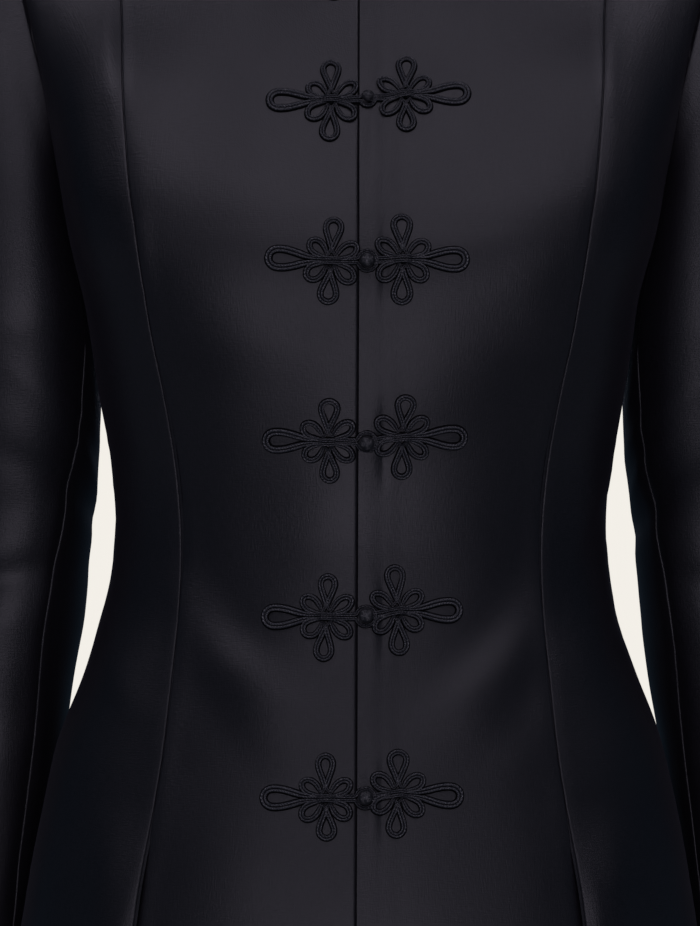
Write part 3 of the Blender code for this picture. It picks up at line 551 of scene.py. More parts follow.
def shell(name, outer, inner, uv):
    # a closed wall between two grids: outer skin, inner skin and the strip round the edge
    rows, columns = outer.shape[:2]
    count = rows * columns
    index = np.arange(count).reshape(rows, columns)
    skin = np.stack([index[:-1, :-1], index[:-1, 1:], index[1:, 1:], index[1:, :-1]], -1).reshape(-1, 4)
    rim = np.concatenate([index[0], index[1:, -1], index[-1, -2::-1], index[-2:0:-1, 0]])
    ahead = np.roll(rim, -1)
    edge = np.stack([rim, rim + count, ahead + count, ahead], -1)
    points = np.concatenate([outer.reshape(-1, 3), inner.reshape(-1, 3)])
    quads = np.concatenate([skin, skin[:, ::-1] + count, edge])
    slots = np.repeat([0, 1, 0], [len(skin), len(skin), len(edge)])
    uv = np.concatenate([uv.reshape(-1, 2)] * 2)
    made = meshObject(name, points, quads, slots, [satin, satinReverse], uv)
    made.data.set_sharp_from_angle(angle=math.radians(cloth["sharpAngle"]))
    return made


def clothShell(name, points, normals, swells, folds, fromHem, up, side, flip, sewing, loose=1):
    # one cut piece: its form moved along its normals by swells, folds, seams and hem, with a wall behind
    across = runAlong(points, 1)
    other = across[:, -1:] - across
    fromTop = distanceTo(points, points[-1])
    calm = smooth(0, cloth["calmTop"], fromTop) * smooth(0, cloth["calmSide"], np.minimum(across, other))
    rolls, puckers = rolled(fromTop), sewing["topPucker"] * puckered(fromTop, across, sewing["topKey"])
    for sewn, distance, key in zip(sewing["seams"], (across, other), sewing["keys"]):
        if sewn:
            rolls, puckers = rolls + rolled(distance), puckers + puckered(distance, points[..., 2], key)
    hem = sewing["hemRidge"] * bell(fromHem - cloth["hemStitch"], cloth["stitchBreadth"])
    hem = hem - turnedIn(fromHem, cloth["hemRoll"])
    lift = (swells * calm + folds) * loose + rolls + puckers + hem
    thick = 1 - smooth(cloth["hemDepth"] - 0.002, cloth["hemDepth"], fromHem)
    wall = cloth["wall"] + (cloth["hemWall"] - cloth["wall"]) * thick
    outer = points + normals * lift[..., None]
    inner = tucked(points + normals * (lift - rolls - wall)[..., None], points, sewing["seams"])
    uv = np.stack([across - across[:, -1:] / 2, up], -1)
    if side < 0:
        outer, inner, uv = outer * (-1, 1, 1), inner * (-1, 1, 1), uv * (-1, 1)
    if flip:
        outer, inner, uv = (grid[:, ::-1] for grid in (outer, inner, uv))
    return shell(name, outer, inner, uv)


# The body's panels

panels = dict(
    gap=0.00016, between=dict(front=26, sideFront=22, sideBack=24, back=24), rowStep=0.005, chestRows=40,
    nearEdge=(0.0125, 0.03, 0.001), phases=dict(frontRight=0.4, frontLeft=2.9, left=1.3, right=4.2),
    overlapEdge=-0.0017, underlapEdge=0.0105,
    stripHeight=0.00105, stripEnd=(0.004, 0.024), stripTrough=0.00022, troughPlace=0.011, troughBreadth=0.0042,
    dip=0.0021, dipFrom=-0.0037, dipTo=-0.0003, bridge=(-0.01, -0.0028),
)

# folds of the cloth: start x and z, end x and z, bend, breadth and rise; x is counted out from the centre
bustSwell = (0.144, -0.13, 0.14, -0.262, 0, 0.037, 0.0072)
waistSwell = (0.0, -0.32, 0.0, -0.48, 0, 0.045, 0.0034)
hemSwell = (0.134, -0.585, 0.143, -0.7, 0, 0.018, 0.0066)
# heights at which the edge puckers beside a frog
frogLevels = (-0.17, -0.262, -0.362, -0.462, -0.563)
frontFolds = dict(
    left=[
        (0.101, -0.446, 0.036, -0.52, 0.008, 0.015, 0.0018),
        (0.104, -0.48, 0.05, -0.548, 0.008, 0.015, -0.001),
        (0.096, -0.415, 0.05, -0.482, 0.01, 0.016, -0.0015),
        (0.102, -0.43, 0.088, -0.3, -0.006, 0.022, -0.0016),
        (0.073, -0.09, 0.074, -0.165, 0.002, 0.013, -0.0009),
        bustSwell, waistSwell,
    ],
    right=[
        (0.101, -0.452, 0.04, -0.524, 0.008, 0.015, 0.0021),
        (0.104, -0.486, 0.052, -0.552, 0.008, 0.015, -0.001),
        (0.094, -0.418, 0.046, -0.49, 0.01, 0.016, -0.0017),
        (0.102, -0.425, 0.088, -0.3, -0.006, 0.022, -0.0016),
        bustSwell, waistSwell,
        *((0.0078, z + 0.018, 0.0078, z - 0.022, 0, 0.003, 0.0004) for z in frogLevels),
        *((0.0122, z + 0.022, 0.0122, z - 0.024, 0, 0.0032, -0.0008) for z in frogLevels),
    ],
)
sideFolds = dict(
    left=[
        (0.146, -0.395, 0.118, -0.43, 0.004, 0.008, -0.001), (0.15, -0.45, 0.128, -0.52, 0.006, 0.011, 0.0012),
        bustSwell, hemSwell,
    ],
    right=[
        (0.146, -0.385, 0.13, -0.432, 0.004, 0.006, -0.0014), (0.15, -0.46, 0.142, -0.5, 0.003, 0.005, -0.001),
        bustSwell, hemSwell,
    ],
)
backFolds = dict(
    left=[
        (0.128, -0.402, 0.02, -0.42, 0.01, 0.009, 0.0018),
        (0.125, -0.436, 0.03, -0.446, 0.008, 0.0085, -0.0014),
        (0.12, -0.372, 0.036, -0.39, 0.009, 0.009, -0.0012),
    ],
    right=[
        (0.126, -0.41, 0.016, -0.428, 0.011, 0.0095, 0.0017),
        (0.124, -0.446, 0.026, -0.455, 0.008, 0.0085, -0.0015),
        (0.118, -0.38, 0.03, -0.396, 0.009, 0.0085, -0.001),
    ],
)


def princessTurn(height, depthColumn):
    low = np.minimum(height, armpitZ)
    turn = turnAt(bodyAt(depthColumn, low), low)
    return turn if depthColumn == princessFront else np.pi - turn


def bodyRows():
    # heights of the rows: fine at the hem and at the top, even between
    low = np.arange(hemZ + edgeSteps[-1] + panels["rowStep"], armpitZ, panels["rowStep"])
    top = topZ - panels["gap"]
    high = np.linspace(armpitZ, top - edgeSteps[-1], panels["chestRows"])[:-1]
    return np.concatenate([hemZ + edgeSteps, low, high, top - edgeSteps[::-1]])


def turnsBetween(heights, start, end, steps):
    # columns of a panel: fine beside both seams, even between; the seams' turns are given for each row
    edge = edgeSteps + panels["gap"]

    def spanOf(seam, edge):
        # a run along the cloth as a turn, never over three tenths of the panel
        speed = sizeOf(smoothBody(heights, seam + 0.001) - smoothBody(heights, seam - 0.001)) / 0.002
        return np.minimum(edge[None] / np.maximum(speed, 1e-4)[:, None], (end - start)[:, None] * 0.3)

    left, right = start[:, None] + spanOf(start, edge), end[:, None] - spanOf(end, edge[::-1])
    shares = np.linspace(0, 1, steps + 2)[1:-1]
    middle = left[:, -1:] * (1 - shares) + right[:, :1] * shares
    return np.concatenate([left, middle, right], axis=1)


def bodyNormals(heights, turns):
    # taken a little beside the side seam, where the back's section meets the front's
    inside = np.clip(heights, hemZ + 0.001, topZ - 0.001)
    safe = np.where(np.abs(np.abs(turns) - np.pi / 2) < 0.004, turns + 0.004, turns)
    return normalsOf(smoothBody, inside, safe, 0.001, 0.002)


def bodyShell(name, turns, heights, folds, side, phase, seams=(True, True), extra=np.zeros_like):
    grid = np.repeat(heights[:, None], turns.shape[1], axis=1)
    points, normals = smoothBody(grid, turns), bodyNormals(grid, turns)
    creases = stroked(np.abs(points[..., 0]), points[..., 2], folds) + extra(points[..., 0])
    sewing = dict(seams=seams, keys=(1.0, 2.3), topKey=phase, topPucker=1.3, hemRidge=0.00025)
    fromHem = np.clip(grid - hemZ, 0, 1)
    return clothShell(name, points, normals, uneven(points, phase), creases, fromHem, grid, side, side < 0, sewing)


def frontStrip(x):
    # the right front rides up over the underlap's edge, and sinks a little just past it
    trough = panels["stripTrough"] * bell(x - panels["troughPlace"], panels["troughBreadth"])
    return panels["stripHeight"] * (1 - smooth(*panels["stripEnd"], x)) - trough


def frontDip(x):
    # the left front sinks under the right front's edge
    return -panels["dip"] * (1 - smooth(-panels["dipTo"], -panels["dipFrom"], x))


def frontPanel(name, edgeX, side, folds, extra, phase):
    heights = bodyRows()
    low = np.minimum(heights, armpitZ)
    near = edgeX + np.concatenate([edgeSteps, np.arange(*panels["nearEdge"])])
    start = np.stack([turnAt(np.full(heights.shape, x), low) for x in near], axis=1)
    rest = turnsBetween(heights, start[:, -1], princessTurn(heights, princessFront), panels["between"]["front"])
    turns = np.concatenate([start, rest[:, len(edgeSteps) // 2 :]], axis=1)
    return bodyShell(name, turns, heights, folds, side, phase, (False, True), extra)


def makeBody():
    # the two fronts, then side front, side back and back on each side
    heights, between, phases = bodyRows(), panels["between"], panels["phases"]
    front, back = princessTurn(heights, princessFront), princessTurn(heights, princessBack)
    side, centre = np.full(heights.shape, np.pi / 2), np.full(heights.shape, np.pi)
    made = [
        frontPanel("frontRight", panels["overlapEdge"], 1, frontFolds["right"], frontStrip, phases["frontRight"]),
        frontPanel("frontLeft", -panels["underlapEdge"], -1, frontFolds["left"], frontDip, phases["frontLeft"]),
    ]
    for word, sign in (("left", -1), ("right", 1)):
        seams = dict(sideFront=(front, side), sideBack=(side, back), back=(back, centre))
        for step, (kind, (start, end)) in enumerate(seams.items()):
            name, folds = kind + word.capitalize(), sideFolds if kind == "sideFront" else backFolds
            turns = turnsBetween(heights, start, end, between[kind])
            made.append(bodyShell(name, turns, heights, folds[word], sign, phases[word] + step))
    return made


# The sleeves: folds as height, angle round the sleeve in degrees, how far round it reaches, breadth, slant, rise

sleeve = dict(
    rowStep=0.005, headRows=44, between=26, radius=0.048, looseRoom=0.006,
    headGap=0.0005, topSteps=(0.0024, 0.0013, 0.0006, 0.0002, 0.0),
)
sleeveFolds = dict(
    left=[
        (-0.447, 70, 62, 0.01, 0.012, -0.003),
        (-0.395, 150, 60, 0.01, -0.024, -0.0022),
        (-0.31, 120, 27, 0.08, 0.0, 0.0042), (-0.262, 116, 30, 0.028, 0.0, 0.0035),
        (-0.455, 116, 24, 0.045, 0.0, 0.0012),
        (-0.474, 78, 52, 0.012, 0.014, 0.0008),
        (-0.345, 140, 40, 0.007, -0.02, 0.0012),
        (-0.372, 152, 34, 0.0065, -0.03, 0.0014),
        (-0.41, 78, 30, 0.012, 0.01, -0.001),
        (-0.236, 70, 34, 0.008, -0.012, -0.0009),
        (-0.56, 60, 60, 0.016, 0.012, 0.0009),
        (-0.61, 120, 50, 0.014, -0.01, -0.0008),
        (-0.42, 232, 46, 0.011, 0.014, -0.002),
        (-0.452, 240, 44, 0.011, 0.016, 0.0014),
    ],
    right=[
        (-0.453, 68, 60, 0.01, 0.012, -0.0028),
        (-0.402, 146, 58, 0.01, -0.022, -0.0024),
        (-0.315, 122, 27, 0.08, 0.0, 0.0042), (-0.262, 116, 30, 0.028, 0.0, 0.0035),
        (-0.46, 118, 24, 0.045, 0.0, 0.0012),
        (-0.484, 76, 52, 0.012, 0.014, 0.0008),
        (-0.35, 138, 42, 0.007, -0.022, 0.0013),
        (-0.38, 150, 36, 0.0065, -0.028, 0.0012),
        (-0.418, 76, 32, 0.012, 0.012, -0.0012),
        (-0.24, 68, 36, 0.008, -0.01, -0.0008),
        (-0.572, 56, 60, 0.015, 0.01, 0.001),
        (-0.622, 116, 50, 0.014, -0.012, -0.0007),
        (-0.428, 236, 44, 0.011, 0.012, -0.0018),
        (-0.46, 242, 46, 0.011, 0.014, 0.0015),
    ],
)


def sleeveCreases(height, angle, folds):
    # bell-shaped ridges and troughs that run part of the way round, rising as they go
    lift = np.zeros(np.broadcast(height, angle).shape)
    for z, middle, reach, breadth, slope, rise in folds:
        turn = (angle - math.radians(middle) + np.pi) % (2 * np.pi) - np.pi
        across = turn / math.radians(reach)
        lift += rise * np.exp(-(across**2) - ((height - z - slope * across) / breadth) ** 2)
    return lift


def sleeveShell(name, startColumn, endColumn, side, folds, phase):
    # rows and columns fine at the edges, the grain turned as the arm is, and no folds where it touches the body
    low = np.arange(cuffZ + edgeSteps[-1] + sleeve["rowStep"], bicepZ, sleeve["rowStep"])
    top = armpitZ - sleeve["headGap"]
    high = np.linspace(bicepZ, top, sleeve["headRows"])[:-4]
    heights = np.concatenate([cuffZ + edgeSteps, low, high, top - np.array(sleeve["topSteps"])])
    start, end = (2 * np.pi / cut["sleeveColumns"] * c for c in (startColumn, endColumn))
    inset = (edgeSteps + panels["gap"]) / sleeve["radius"]
    between = sleeve["between"] * (2 if end - start > 3 else 1)
    middle = np.linspace(start + inset[-1], end - inset[-1], between + 2)[1:-1]
    angles = np.concatenate([start + inset, middle, end - inset[::-1]])
    grid = np.repeat(heights[:, None], len(angles), axis=1)
    below, head = np.minimum(grid, bicepZ), (grid - bicepZ) / (armpitZ - bicepZ)
    grain = columnAt(sleeveLevels, grainTurn, below) + sleeveHang[side][1] * hanging(below)
    angles = angles + np.radians(grain) * (1 - np.clip(head, 0, 1))
    points = smoothSleeve(grid, angles, side)
    inside = np.clip(grid, cuffZ + 0.001, armpitZ - 0.0015)
    normals = -normalsOf(lambda z, turn: smoothSleeve(z, turn, side), inside, angles, 0.001, 0.01)
    room, touching = standOff(points)
    loose = 1 - touching * (1 - smooth(0.0, sleeve["looseRoom"], room))
    swells, creases = uneven(points * (side, 1, 1), phase), sleeveCreases(grid, angles, folds)
    sewing = dict(seams=(True, True), keys=(phase, 2.7), topKey=phase + 0.5, topPucker=1.6, hemRidge=0.0002)
    fromCuff, up = np.clip(grid - cuffZ, 0, 1), runAlong(points, 0)
    return clothShell(name, points, normals, swells, creases, fromCuff, up, side, side > 0, sewing, loose)


def makeSleeves():
    made, under = [], (cut["frontSleeveSeam"], cut["backSleeveSeam"])
    upper = (under[1] - cut["sleeveColumns"], under[0])
    for word, side, phase in (("left", -1, 0.9), ("right", 1, 3.6)):
        for step, (kind, seams) in enumerate((("sleeveUnder", under), ("sleeveUpper", upper))):
            made.append(sleeveShell(kind + word.capitalize(), *seams, side, sleeveFolds[word], phase + step))
    return made


# The stand collar

collarSizes = dict(
    height=0.04, lean=0.006, frontGap=0.0016, corner=0.014, wall=0.0017, lift=0.0003, roll=0.0008, innerRoll=0.4,
    footRoll=0.6, swell=0.0004, swellTurns=41, neckColumns=90, columns=190, rows=20, margin=0.013,
)


def makeCollar():
    # rows that rise from the neckline's curve and lean in; the front corners are quarter circles
    front = neckWidth * np.sin(np.linspace(0, np.pi / 2, collarSizes["neckColumns"]))
    front = turnAt(front, armpitZ)
    half = smoothBody(topZ, np.concatenate([front, np.pi - front[-2::-1]]))
    line = np.concatenate([half, half[-2::-1] * (-1, 1, 1)])
    run = runAlong(line, 0)
    first, size = collarSizes["frontGap"] / 2, collarSizes["corner"]
    last, margin = run[-1] - first, collarSizes["margin"]
    middle = np.linspace(first + margin, last - margin, collarSizes["columns"])
    places = np.concatenate([first + edgeSteps, middle, last - edgeSteps[::-1]])
    base = np.stack([np.interp(places, run, line[:, axis]) for axis in range(3)], -1)
    depth = np.where(base[:, 1] < 0, cut["neckFront"], cut["neckBack"])
    outward = unit(np.stack([base[:, 0] / neckWidth**2, base[:, 1] / depth**2, 0 * depth], -1))
    fromEnd = np.minimum(places, run[-1] - places) - first
    corner = np.clip(1 - fromEnd / size, 0, 1)
    height = collarSizes["height"] - size * (1 - np.sqrt(np.maximum(1 - corner**2, 0)))
    rows, ends = np.linspace(0.08, 0.92, collarSizes["rows"]), edgeSteps[:8] / collarSizes["height"]
    shares = np.concatenate([ends, rows, 1 - ends[::-1]])
    up = height[None, :] * shares[:, None]
    grid = base[None] - outward[None] * collarSizes["lean"] * shares[:, None, None]
    grid[..., 2] += collarSizes["lift"] + up
    roll = collarSizes["roll"]
    drop = np.minimum(turnedIn(height[None, :] - up, roll) + turnedIn(fromEnd + 0 * up, roll), roll)
    swell = np.sin(places * collarSizes["swellTurns"] + 0.7)[None, :] * np.sin(shares * np.pi)[:, None]
    swell = collarSizes["swell"] * swell
    back = swell - collarSizes["wall"] + drop * collarSizes["innerRoll"]
    outer = grid + outward[None] * (swell - drop + rolled(up) * collarSizes["footRoll"])[..., None]
    inner = grid + outward[None] * back[..., None]
    inner[0, :, 2] -= cloth["tuck"] / 2
    return shell("standCollar", outer, inner, paired(places, up))


# The frogs: soutache braid laid in loops, a ring of it round each ball knot

# middle height, x of the two cores, how much higher the right core sits, lean of each half in degrees
frogs = {
    1: (-0.088, -0.0178, 0.0226, 0.002, 0.0, 0.0),
    2: (-0.17, -0.0177, 0.024, 0.0033, 1.0, -2.0),
    3: (-0.262, -0.0176, 0.0227, 0.0012, -2.0, 1.0),
    4: (-0.362, -0.0188, 0.0227, 0.0027, 1.5, 2.0),
    5: (-0.462, -0.0193, 0.0204, 0.0034, -1.0, -1.5),
    6: (-0.563, -0.0193, 0.021, 0.0028, 2.0, 1.0),
}
# this frog's knot is pulled tight, so the ball and its ring are smaller
pulledTight = {2: 0.78}
# each loop's direction in degrees, length and width over the braid, how late its sides part, where its root is
petals = dict(
    innerUp=(35, 0.0178, 0.01, 1.5, 0.003), up=(90, 0.0246, 0.0112, 2.4, 0.0058),
    outerUp=(143, 0.0174, 0.01, 1.5, 0.003), outerDown=(219, 0.0176, 0.0102, 1.5, 0.003),
    down=(270, 0.0244, 0.0114, 2.4, 0.0054), innerDown=(321, 0.0178, 0.0102, 1.5, 0.003),
)
# shares of the full width: petalBraid, rootBraid, tailBraid, ringBraid; petalWander: degrees, length, width
braid = dict(
    width=0.0033, step=0.0005, petalBraid=0.8, rootBraid=0.48, rootEnd=(0.0025, 0.009), tailBraid=1.02,
    tailLength=0.0368, tailWidth=0.0136, tailSpread=(0.24, 0.8), tailTip=0.16, tailGrow=(0.18, 0.5),
    stemHalf=0.00118, stemKink=0.0008, petalKink=0.0006, turnBack=0.0016, ringRadius=0.0054, ringBraid=0.58,
    coreRise=0.00205, coreReach=0.005, coreTurn=0.15, knotX=0.0028, petalWander=(2.5, 0.025, 0.05),
    tailWander=0.015, lowLay=0.0001, highLay=0.0003, wave=0.0002, waveTurn=0.09, seed=31,
)
# half of the braid's section, foot to groove: how far aside, how high, 1 if the face up to the next is painted
# shade (the near-black outline standing in for contact shadow, and the groove's shade)
braidProfile = np.array([
    (0.0012, -0.0001, 1), (0.00238, 0.00008, 1), (0.0018, 0.0002, 1),
    (0.00168, 0.00118, 0), (0.0015, 0.00166, 0), (0.00118, 0.00184, 0),
    (0.00062, 0.00187, 0), (0.00034, 0.00158, 0), (0.00014, 0.0008, 1),
])


def clothAt(x, z):
    # height and turn of the body's point straight behind (x, z), by Newton's steps on height and starting width
    height, width = z.copy(), x.copy()

    def place(h, w):
        return smoothBody(h, turnAt(w, np.minimum(h, armpitZ)))

    for _ in range(7):
        here = place(height, width)
        byHeight = (place(height + 1e-5, width) - here) / 1e-5
        byWidth = (place(height, width + 1e-5) - here) / 1e-5
        gapX, gapZ = x - here[..., 0], z - here[..., 2]
        size = byHeight[..., 2] * byWidth[..., 0] - byHeight[..., 0] * byWidth[..., 2]
        height = height + (gapZ * byWidth[..., 0] - gapX * byWidth[..., 2]) / size
        width = width + (gapX * byHeight[..., 2] - gapZ * byHeight[..., 0]) / size
    return height, turnAt(width, np.minimum(height, armpitZ))


def onFronts(x, z, out):
    # points on the fronts straight behind (x, z), moved out; the steps at the centre are bridged
    height, turn = clothAt(x, z)
    points = smoothBody(height, turn)
    normals = normalsOf(smoothBody, height, turn, 0.001, 0.002)
    even = points * (np.where(x < 0, -1.0, 1.0)[..., None] * (1, 0, 0) + np.array((0, 1, 1)))
    left, right = (
        stroked(np.abs(x), z, frontFolds[word]) + uneven(even, panels["phases"]["front" + word.capitalize()])
        for word in ("left", "right")
    )
    bridge = panels["stripHeight"] * smooth(*panels["bridge"], x) * (1 - smooth(*panels["stripEnd"], x))
    return points + normals * (np.where(x < 0, left, right) + bridge + out)[..., None], normals


def petalPath(angle, length, width, late, root):
    # a loop from the core and back: out along s = sin(pi t), aside by the root of sin(pi s^late)
    t = np.linspace(0, 1, 61)[:-1]
    s = np.sin(np.pi * t)
    aside = width / 2 * np.sqrt(np.sin(np.pi * np.minimum(s, 0.99999) ** late)) * np.sign(0.5 - t)
    along = root + (length - root) * s
    c, d = math.cos(angle), math.sin(angle)
    return np.stack([along * c + aside * d, along * d - aside * c], -1)


def evened(path, reach, step):
    # a closed path at even steps, its kinks rounded by a moving mean
    closed = np.concatenate([path, path[:1]])
    run = runAlong(closed, 0)
    count = int(run[-1] / step)
    even = np.linspace(0, run[-1], count, endpoint=False)
    points = np.stack([np.interp(even, run, closed[:, k]) for k in range(closed.shape[1])], -1)
    window = max(int(reach / step), 1)
    return sum(np.roll(points, k, axis=0) for k in range(-window, window + 1)) / (2 * window + 1)


def stemPath(reach, hand, radius):
    # the tail's loop, two strands over the core, and the ring round the knot or the strands' turn under it
    length, width = braid["tailLength"] - braid["width"] / 2, braid["tailWidth"] - braid["width"]
    half, tip, s = braid["stemHalf"], braid["tailTip"], np.linspace(0, 1, 90)
    spread = half + (width / 2 - half) * smooth(*braid["tailSpread"], s)
    close = np.sqrt(np.clip(1 - (np.clip(s - (1 - tip), 0, 1) / tip) ** 2, 0, 1))
    tail = np.stack([-length * s, spread * close], -1)
    if hand > 0:
        opening = math.asin(half / radius)
        swing = np.linspace(np.pi + opening, 3 * np.pi - opening, 60)
        ring = np.stack([reach + radius * np.cos(swing), radius * np.sin(swing)], -1)
    else:
        swing = np.linspace(-np.pi / 2, np.pi / 2, 14)
        ring = np.stack([reach - braid["turnBack"] + half * np.cos(swing), half * np.sin(swing)], -1)
    return np.concatenate([tail, tail[-2::-1] * (1, -1), ring])


def alongPath(points):
    # the direction of a closed path at each of its points
    return unit(np.roll(points, -1, axis=0) - np.roll(points, 1, axis=0))


def tubeQuads(count, around):
    # the faces of a closed ring of cross-sections
    index = np.arange(count * around).reshape(count, around)
    ahead = np.roll(index, -1, axis=0)
    return np.stack([index, ahead, np.roll(ahead, -1, axis=1), np.roll(index, -1, axis=1)], -1).reshape(-1, 4)


def sweepBraid(flat, lift, place, narrow):
    # carries two flat-topped ridges with a groove between, steep flanks and a thin foot along a closed flat path;
    # the foot, the lower flanks and the groove's floor take the painted-shade material
    points, normals = place(flat, lift)
    side = unit(np.cross(normals, alongPath(points)))
    across, rise = np.concatenate([braidProfile * (-1, 1, 1), braidProfile[::-1]])[:, :2].T
    grid = points[:, None] + side[:, None] * (across * narrow + np.zeros((len(points), 1)))[..., None]
    grid = grid + normals[:, None] * rise[None, :, None]
    count, around = len(points), len(rise)
    uv = paired((np.arange(count) * braid["step"])[:, None], across)
    # faces marked 1 take the second material, the painted shade round the braid and in its groove
    sewn = braidProfile[:, 2]
    black = np.concatenate([sewn, sewn[-2::-1], [1]])
    return grid.reshape(-1, 3), tubeQuads(count, around), uv.reshape(-1, 2), np.tile(black, count)


def joined(name, parts, materials):
    # several swept strands as one mesh
    points, quads, uv, slots = zip(*parts)
    starts = np.cumsum([0] + [len(each) for each in points[:-1]])
    quads = np.concatenate([each + start for each, start in zip(quads, starts)])
    return meshObject(name, np.concatenate(points), quads, np.concatenate(slots), materials, np.concatenate(uv))


def frogHalf(name, index, hand):
    # three loops above the core, three below, and the tail whose strands run on to the knot
    middle, leftX, rightX, raised, leftLean, rightLean = frogs[index]
    coreX, coreZ = (leftX, middle) if hand > 0 else (rightX, middle + raised)
    lean = math.radians(leftLean if hand > 0 else rightLean)
    rng = np.random.default_rng(braid["seed"] + 10 * index + hand)
    height, turn = clothAt(np.array([coreX]), np.array([coreZ]))
    facing = normalsOf(smoothBody, height, turn, 0.001, 0.002)[0]
    narrow = abs(facing[1]) / math.hypot(facing[0], facing[1])
    short = abs(facing[1]) / math.hypot(facing[2], facing[1])
    level, drop = abs(braid["knotX"] - coreX) / narrow, (coreZ - middle) / short
    stemAngle = -math.atan2(drop, level)
    strand, slender, step = braid["width"] * braid["petalBraid"], braid["rootBraid"], braid["step"]

    def place(flat, lift):
        return onFronts(coreX + hand * flat[:, 0] * narrow, coreZ + flat[:, 1] * short, lift)

    def loops(names, lay):
        paths = []
        for key in names:
            angle, length, width, late, root = petals[key]
            wander = rng.normal(0, 1, 3) * braid["petalWander"]
            direction = math.radians(angle + wander[0]) + lean
            length, width = (length - strand / 2) * (1 + wander[1]), (width - strand) * (1 + wander[2])
            paths.append(petalPath(direction, length, width, late, root))
        flat = evened(np.concatenate(paths), braid["petalKink"], step)
        full = smooth(*braid["rootEnd"], sizeOf(flat)[:, None])
        breadth = braid["petalBraid"] * (slender + (1 - slender) * full)
        lay = lay + braid["wave"] * np.sin(np.arange(len(flat)) * braid["waveTurn"])
        return sweepBraid(flat, lay, place, breadth)

    ringRadius = braid["ringRadius"] * pulledTight.get(index, 1.0)
    stem = evened(stemPath(math.hypot(level, drop), hand, ringRadius), braid["stemKink"], step)
    inTail = smooth(0, braid["coreTurn"], np.clip(-stem[:, 0] / braid["tailLength"], 0, 1))
    turned = stemAngle * (1 - inTail) + (lean + rng.normal(0, braid["tailWander"])) * inTail
    c, d = np.cos(turned), np.sin(turned)
    stem = np.stack([stem[:, 0] * c - stem[:, 1] * d, stem[:, 0] * d + stem[:, 1] * c], -1)
    stem = evened(stem, braid["stemKink"], step)
    over = braid["coreRise"] * np.exp(-((sizeOf(stem) / braid["coreReach"]) ** 4))
    broad = smooth(*braid["tailGrow"], np.clip(-stem[:, :1] / braid["tailLength"], 0, 1))
    broad = braid["ringBraid"] + (braid["tailBraid"] - braid["ringBraid"]) * broad
    parts = [
        loops(("innerUp", "up", "outerUp"), braid["lowLay"]),
        loops(("outerDown", "down", "innerDown"), braid["highLay"]),
        sweepBraid(stem, braid["lowLay"] + over, place, broad),
    ]
    # the braid's own material, then the painted shade of its outline and groove
    return joined(name, parts, [soutache, sewnFoot])


# The ball knots: one cord that runs three times round and four times up and down, over and under itself

ballKnot = dict(
    radius=0.0029, cord=0.00235, flat=0.5, rounds=3, waves=4, swing=1.02, weave=0.00016, rise=0.0052,
    steps=520, around=12, uvStep=0.0004, firstTilt=0.5, tiltStep=1.3,
)


def makeKnot(name, index):
    t = np.linspace(0, 2 * np.pi, ballKnot["steps"], endpoint=False)
    level, up = ballKnot["rounds"] * t, ballKnot["swing"] * np.sin(ballKnot["waves"] * t)
    radius = ballKnot["radius"] + ballKnot["weave"] * np.sin(2 * ballKnot["waves"] * t)
    path = np.stack([
        radius * np.cos(up) * np.cos(level), radius * np.cos(up) * np.sin(level), radius * np.sin(up),
    ], -1)
    outward = unit(path)
    side = np.cross(outward, alongPath(path))
    swing = np.arange(ballKnot["around"]) * 2 * np.pi / ballKnot["around"]
    broad, high = np.cos(swing)[None, :, None], ballKnot["flat"] * np.sin(swing)[None, :, None]
    grid = path[:, None] + ballKnot["cord"] * (side[:, None] * broad + outward[:, None] * high)
    foot, normal = onFronts(*(np.array([place]) for place in (braid["knotX"], frogs[index][0], ballKnot["rise"])))
    across = unit(np.cross(normal[0], (0, 0, 1.0)))
    rise = np.cross(across, normal[0])
    tilt = ballKnot["firstTilt"] + ballKnot["tiltStep"] * index
    local, c, d = grid.reshape(-1, 3), math.cos(tilt), math.sin(tilt)
    x, y = local[:, 0] * c - local[:, 1] * d, local[:, 0] * d + local[:, 1] * c
    points = x[:, None] * across + y[:, None] * rise + local[:, 2:] * normal[0]
    points = foot[0] + points * pulledTight.get(index, 1.0)
    along = np.arange(ballKnot["steps"]) * ballKnot["uvStep"]
    uv = paired(along[:, None], np.cos(swing) * ballKnot["cord"])
    quads = tubeQuads(*grid.shape[:2])
    return meshObject(name, points, quads, np.zeros(len(quads)), [knotCord], uv.reshape(-1, 2))


# The pieces, each with the node that it stands for


def declare(piece, node):
    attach(piece, "root")
    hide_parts(node)


# left and right are cut alike but for the fronts
bodyPieces = makeBody()
print("body panels:", len(bodyPieces))
sleevePieces = makeSleeves()
standCollar = makeCollar()
print("sleeves and collar done")

for piece in (*bodyPieces, *sleevePieces, standCollar):
    kind = piece.name.removesuffix("Left").removesuffix("Right")
    node = "".join("_" + letter.lower() if letter.isupper() else letter for letter in piece.name)
    declare(piece, node.removeprefix("stand_"))

for index in frogs:
    for hand, kind in ((1, "loop"), (-1, "knot")):
        declare(frogHalf(f"frog{kind.capitalize()}{index}", index, hand), f"frog_{kind}_{index}")
    declare(makeKnot(f"ballKnot{index}", index), f"knot_{index}")
print("frogs and knots done")


# Floor, light and camera

studio = dict(
    floorZ=-1.45, floorSize=9.0, floorGlow=0.85, floorRough=0.9, paper="#F3EFE8", fill=0.075, fillColour="#84B2D8",
    lampColour="#F4EAFF", lampDistance=3.2, lampAim=(0, -0.05, -0.3),
    eye=(-0.0065, -2.32, -0.375), lens=152.8, sensor=36.0, farthest=60, roll=-0.22,
)


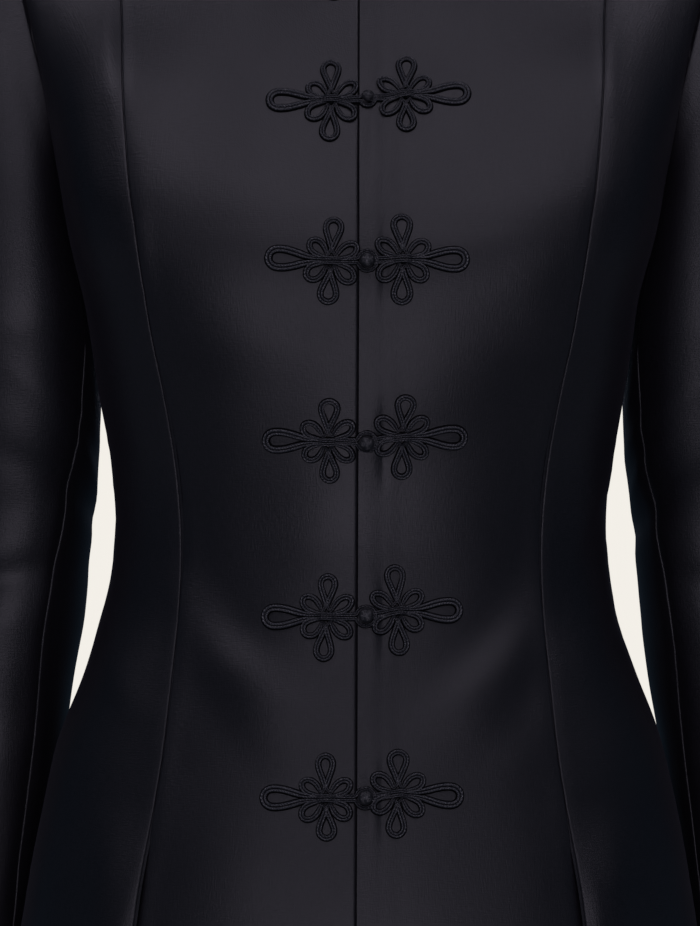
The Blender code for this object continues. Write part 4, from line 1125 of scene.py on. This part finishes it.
def makeFloor():
    # a wide flat disc of pale paper, lit from within so that it stays pale beyond the lamps
    swing = np.linspace(0, 2 * np.pi, 96, endpoint=False)
    rings = np.linspace(0, 1, 5)[1:, None] * studio["floorSize"]
    points = np.stack([rings * np.cos(swing), rings * np.sin(swing), 0 * rings * swing + studio["floorZ"]], -1)
    index = np.arange(1, 4 * 96 + 1).reshape(4, 96)
    beside = np.roll(index, -1, axis=1)
    middle = [(0, a, b) for a, b in zip(index[0].tolist(), beside[0].tolist())]
    outside = np.stack([index[:-1], index[1:], beside[1:], beside[:-1]], -1).reshape(-1, 4)
    mesh = bpy.data.meshes.new("floor")
    mesh.from_pydata([(0, 0, studio["floorZ"]), *points.reshape(-1, 3).tolist()], [], middle + outside.tolist())
    paper, tree, shader = newMaterial("palePaper")
    colour = linear(studio["paper"])
    settings = {"Base Color": colour, "Roughness": studio["floorRough"], "Emission Color": colour}
    setNode(tree, shader, settings | {"Emission Strength": studio["floorGlow"]})
    mesh.materials.append(paper)
    floor = addObject("floor", mesh)
    floor.visible_glossy = floor.visible_diffuse = floor.visible_shadow = False


# softboxes: degrees to the right of the front and above the level, width, height, power
softboxes = dict(
    lowFront=(0, -15, 2.5, 1.35, 17.4), front=(0, 21, 2.2, 1.0, 3.4), topFront=(0, 42, 1.8, 1.7, 14.6),
    highLeft=(-50, 46, 0.9, 1.0, 9.5), highRight=(50, 46, 0.9, 1.0, 9.5),
    sideLeft=(-75, 26, 0.9, 1.0, 0.8), sideRight=(75, 26, 0.9, 1.0, 0.8),
    floorBounce=(0, -78, 4.0, 4.0, 3.6), back=(180, 24, 2.4, 2.0, 14.0),
    bounceLeft=(-78, -28, 4.0, 1.8, 1.8), bounceRight=(78, -28, 4.0, 1.8, 1.8),
)


def softbox(name, aside, above, width, height, power):
    aside, above = math.radians(aside), math.radians(above)
    level = math.cos(above)
    away = Vector((math.sin(aside) * level, -math.cos(aside) * level, math.sin(above)))
    data = bpy.data.lights.new(name, "AREA")
    data.shape, data.size, data.size_y, data.energy = "RECTANGLE", width, height, power
    data.color = linear(studio["lampColour"])[:3]
    lamp = addObject(name, data)
    lamp.location = Vector(studio["lampAim"]) + away * studio["lampDistance"]
    lamp.rotation_euler = away.to_track_quat("Z", "Y").to_euler()
    lamp.visible_camera = False


def makeStudio():
    # pale paper behind, a faint blue fill in every other direction, the softboxes and the camera
    scene, world = bpy.context.scene, bpy.data.worlds.new("studio")
    tree = emptyTree(world)
    seen = addNode(tree, "Background", {"Color": linear(studio["paper"]), "Strength": 1.0})
    fill = addNode(tree, "Background", {"Color": linear(studio["fillColour"]), "Strength": studio["fill"]})
    cameraRay = addNode(tree, "LightPath").outputs["Is Camera Ray"]
    mix = addNode(tree, "MixShader", links={0: cameraRay, 1: fill.outputs[0], 2: seen.outputs[0]})
    addNode(tree, "OutputWorld", links={"Surface": mix.outputs[0]})
    scene.world, scene.view_settings.view_transform = world, "Standard"
    for name, box in softboxes.items():
        softbox(name, *box)
    camera = bpy.data.cameras.new("camera")
    camera.lens, camera.sensor_fit, camera.clip_end = studio["lens"], "VERTICAL", studio["farthest"]
    camera.sensor_height = camera.sensor_width = studio["sensor"]
    viewer = addObject("camera", camera)
    viewer.location = studio["eye"]
    viewer.rotation_euler = (math.pi / 2, math.radians(studio["roll"]), 0)
    scene.camera = viewer


makeFloor()
makeStudio()
print("studio done")
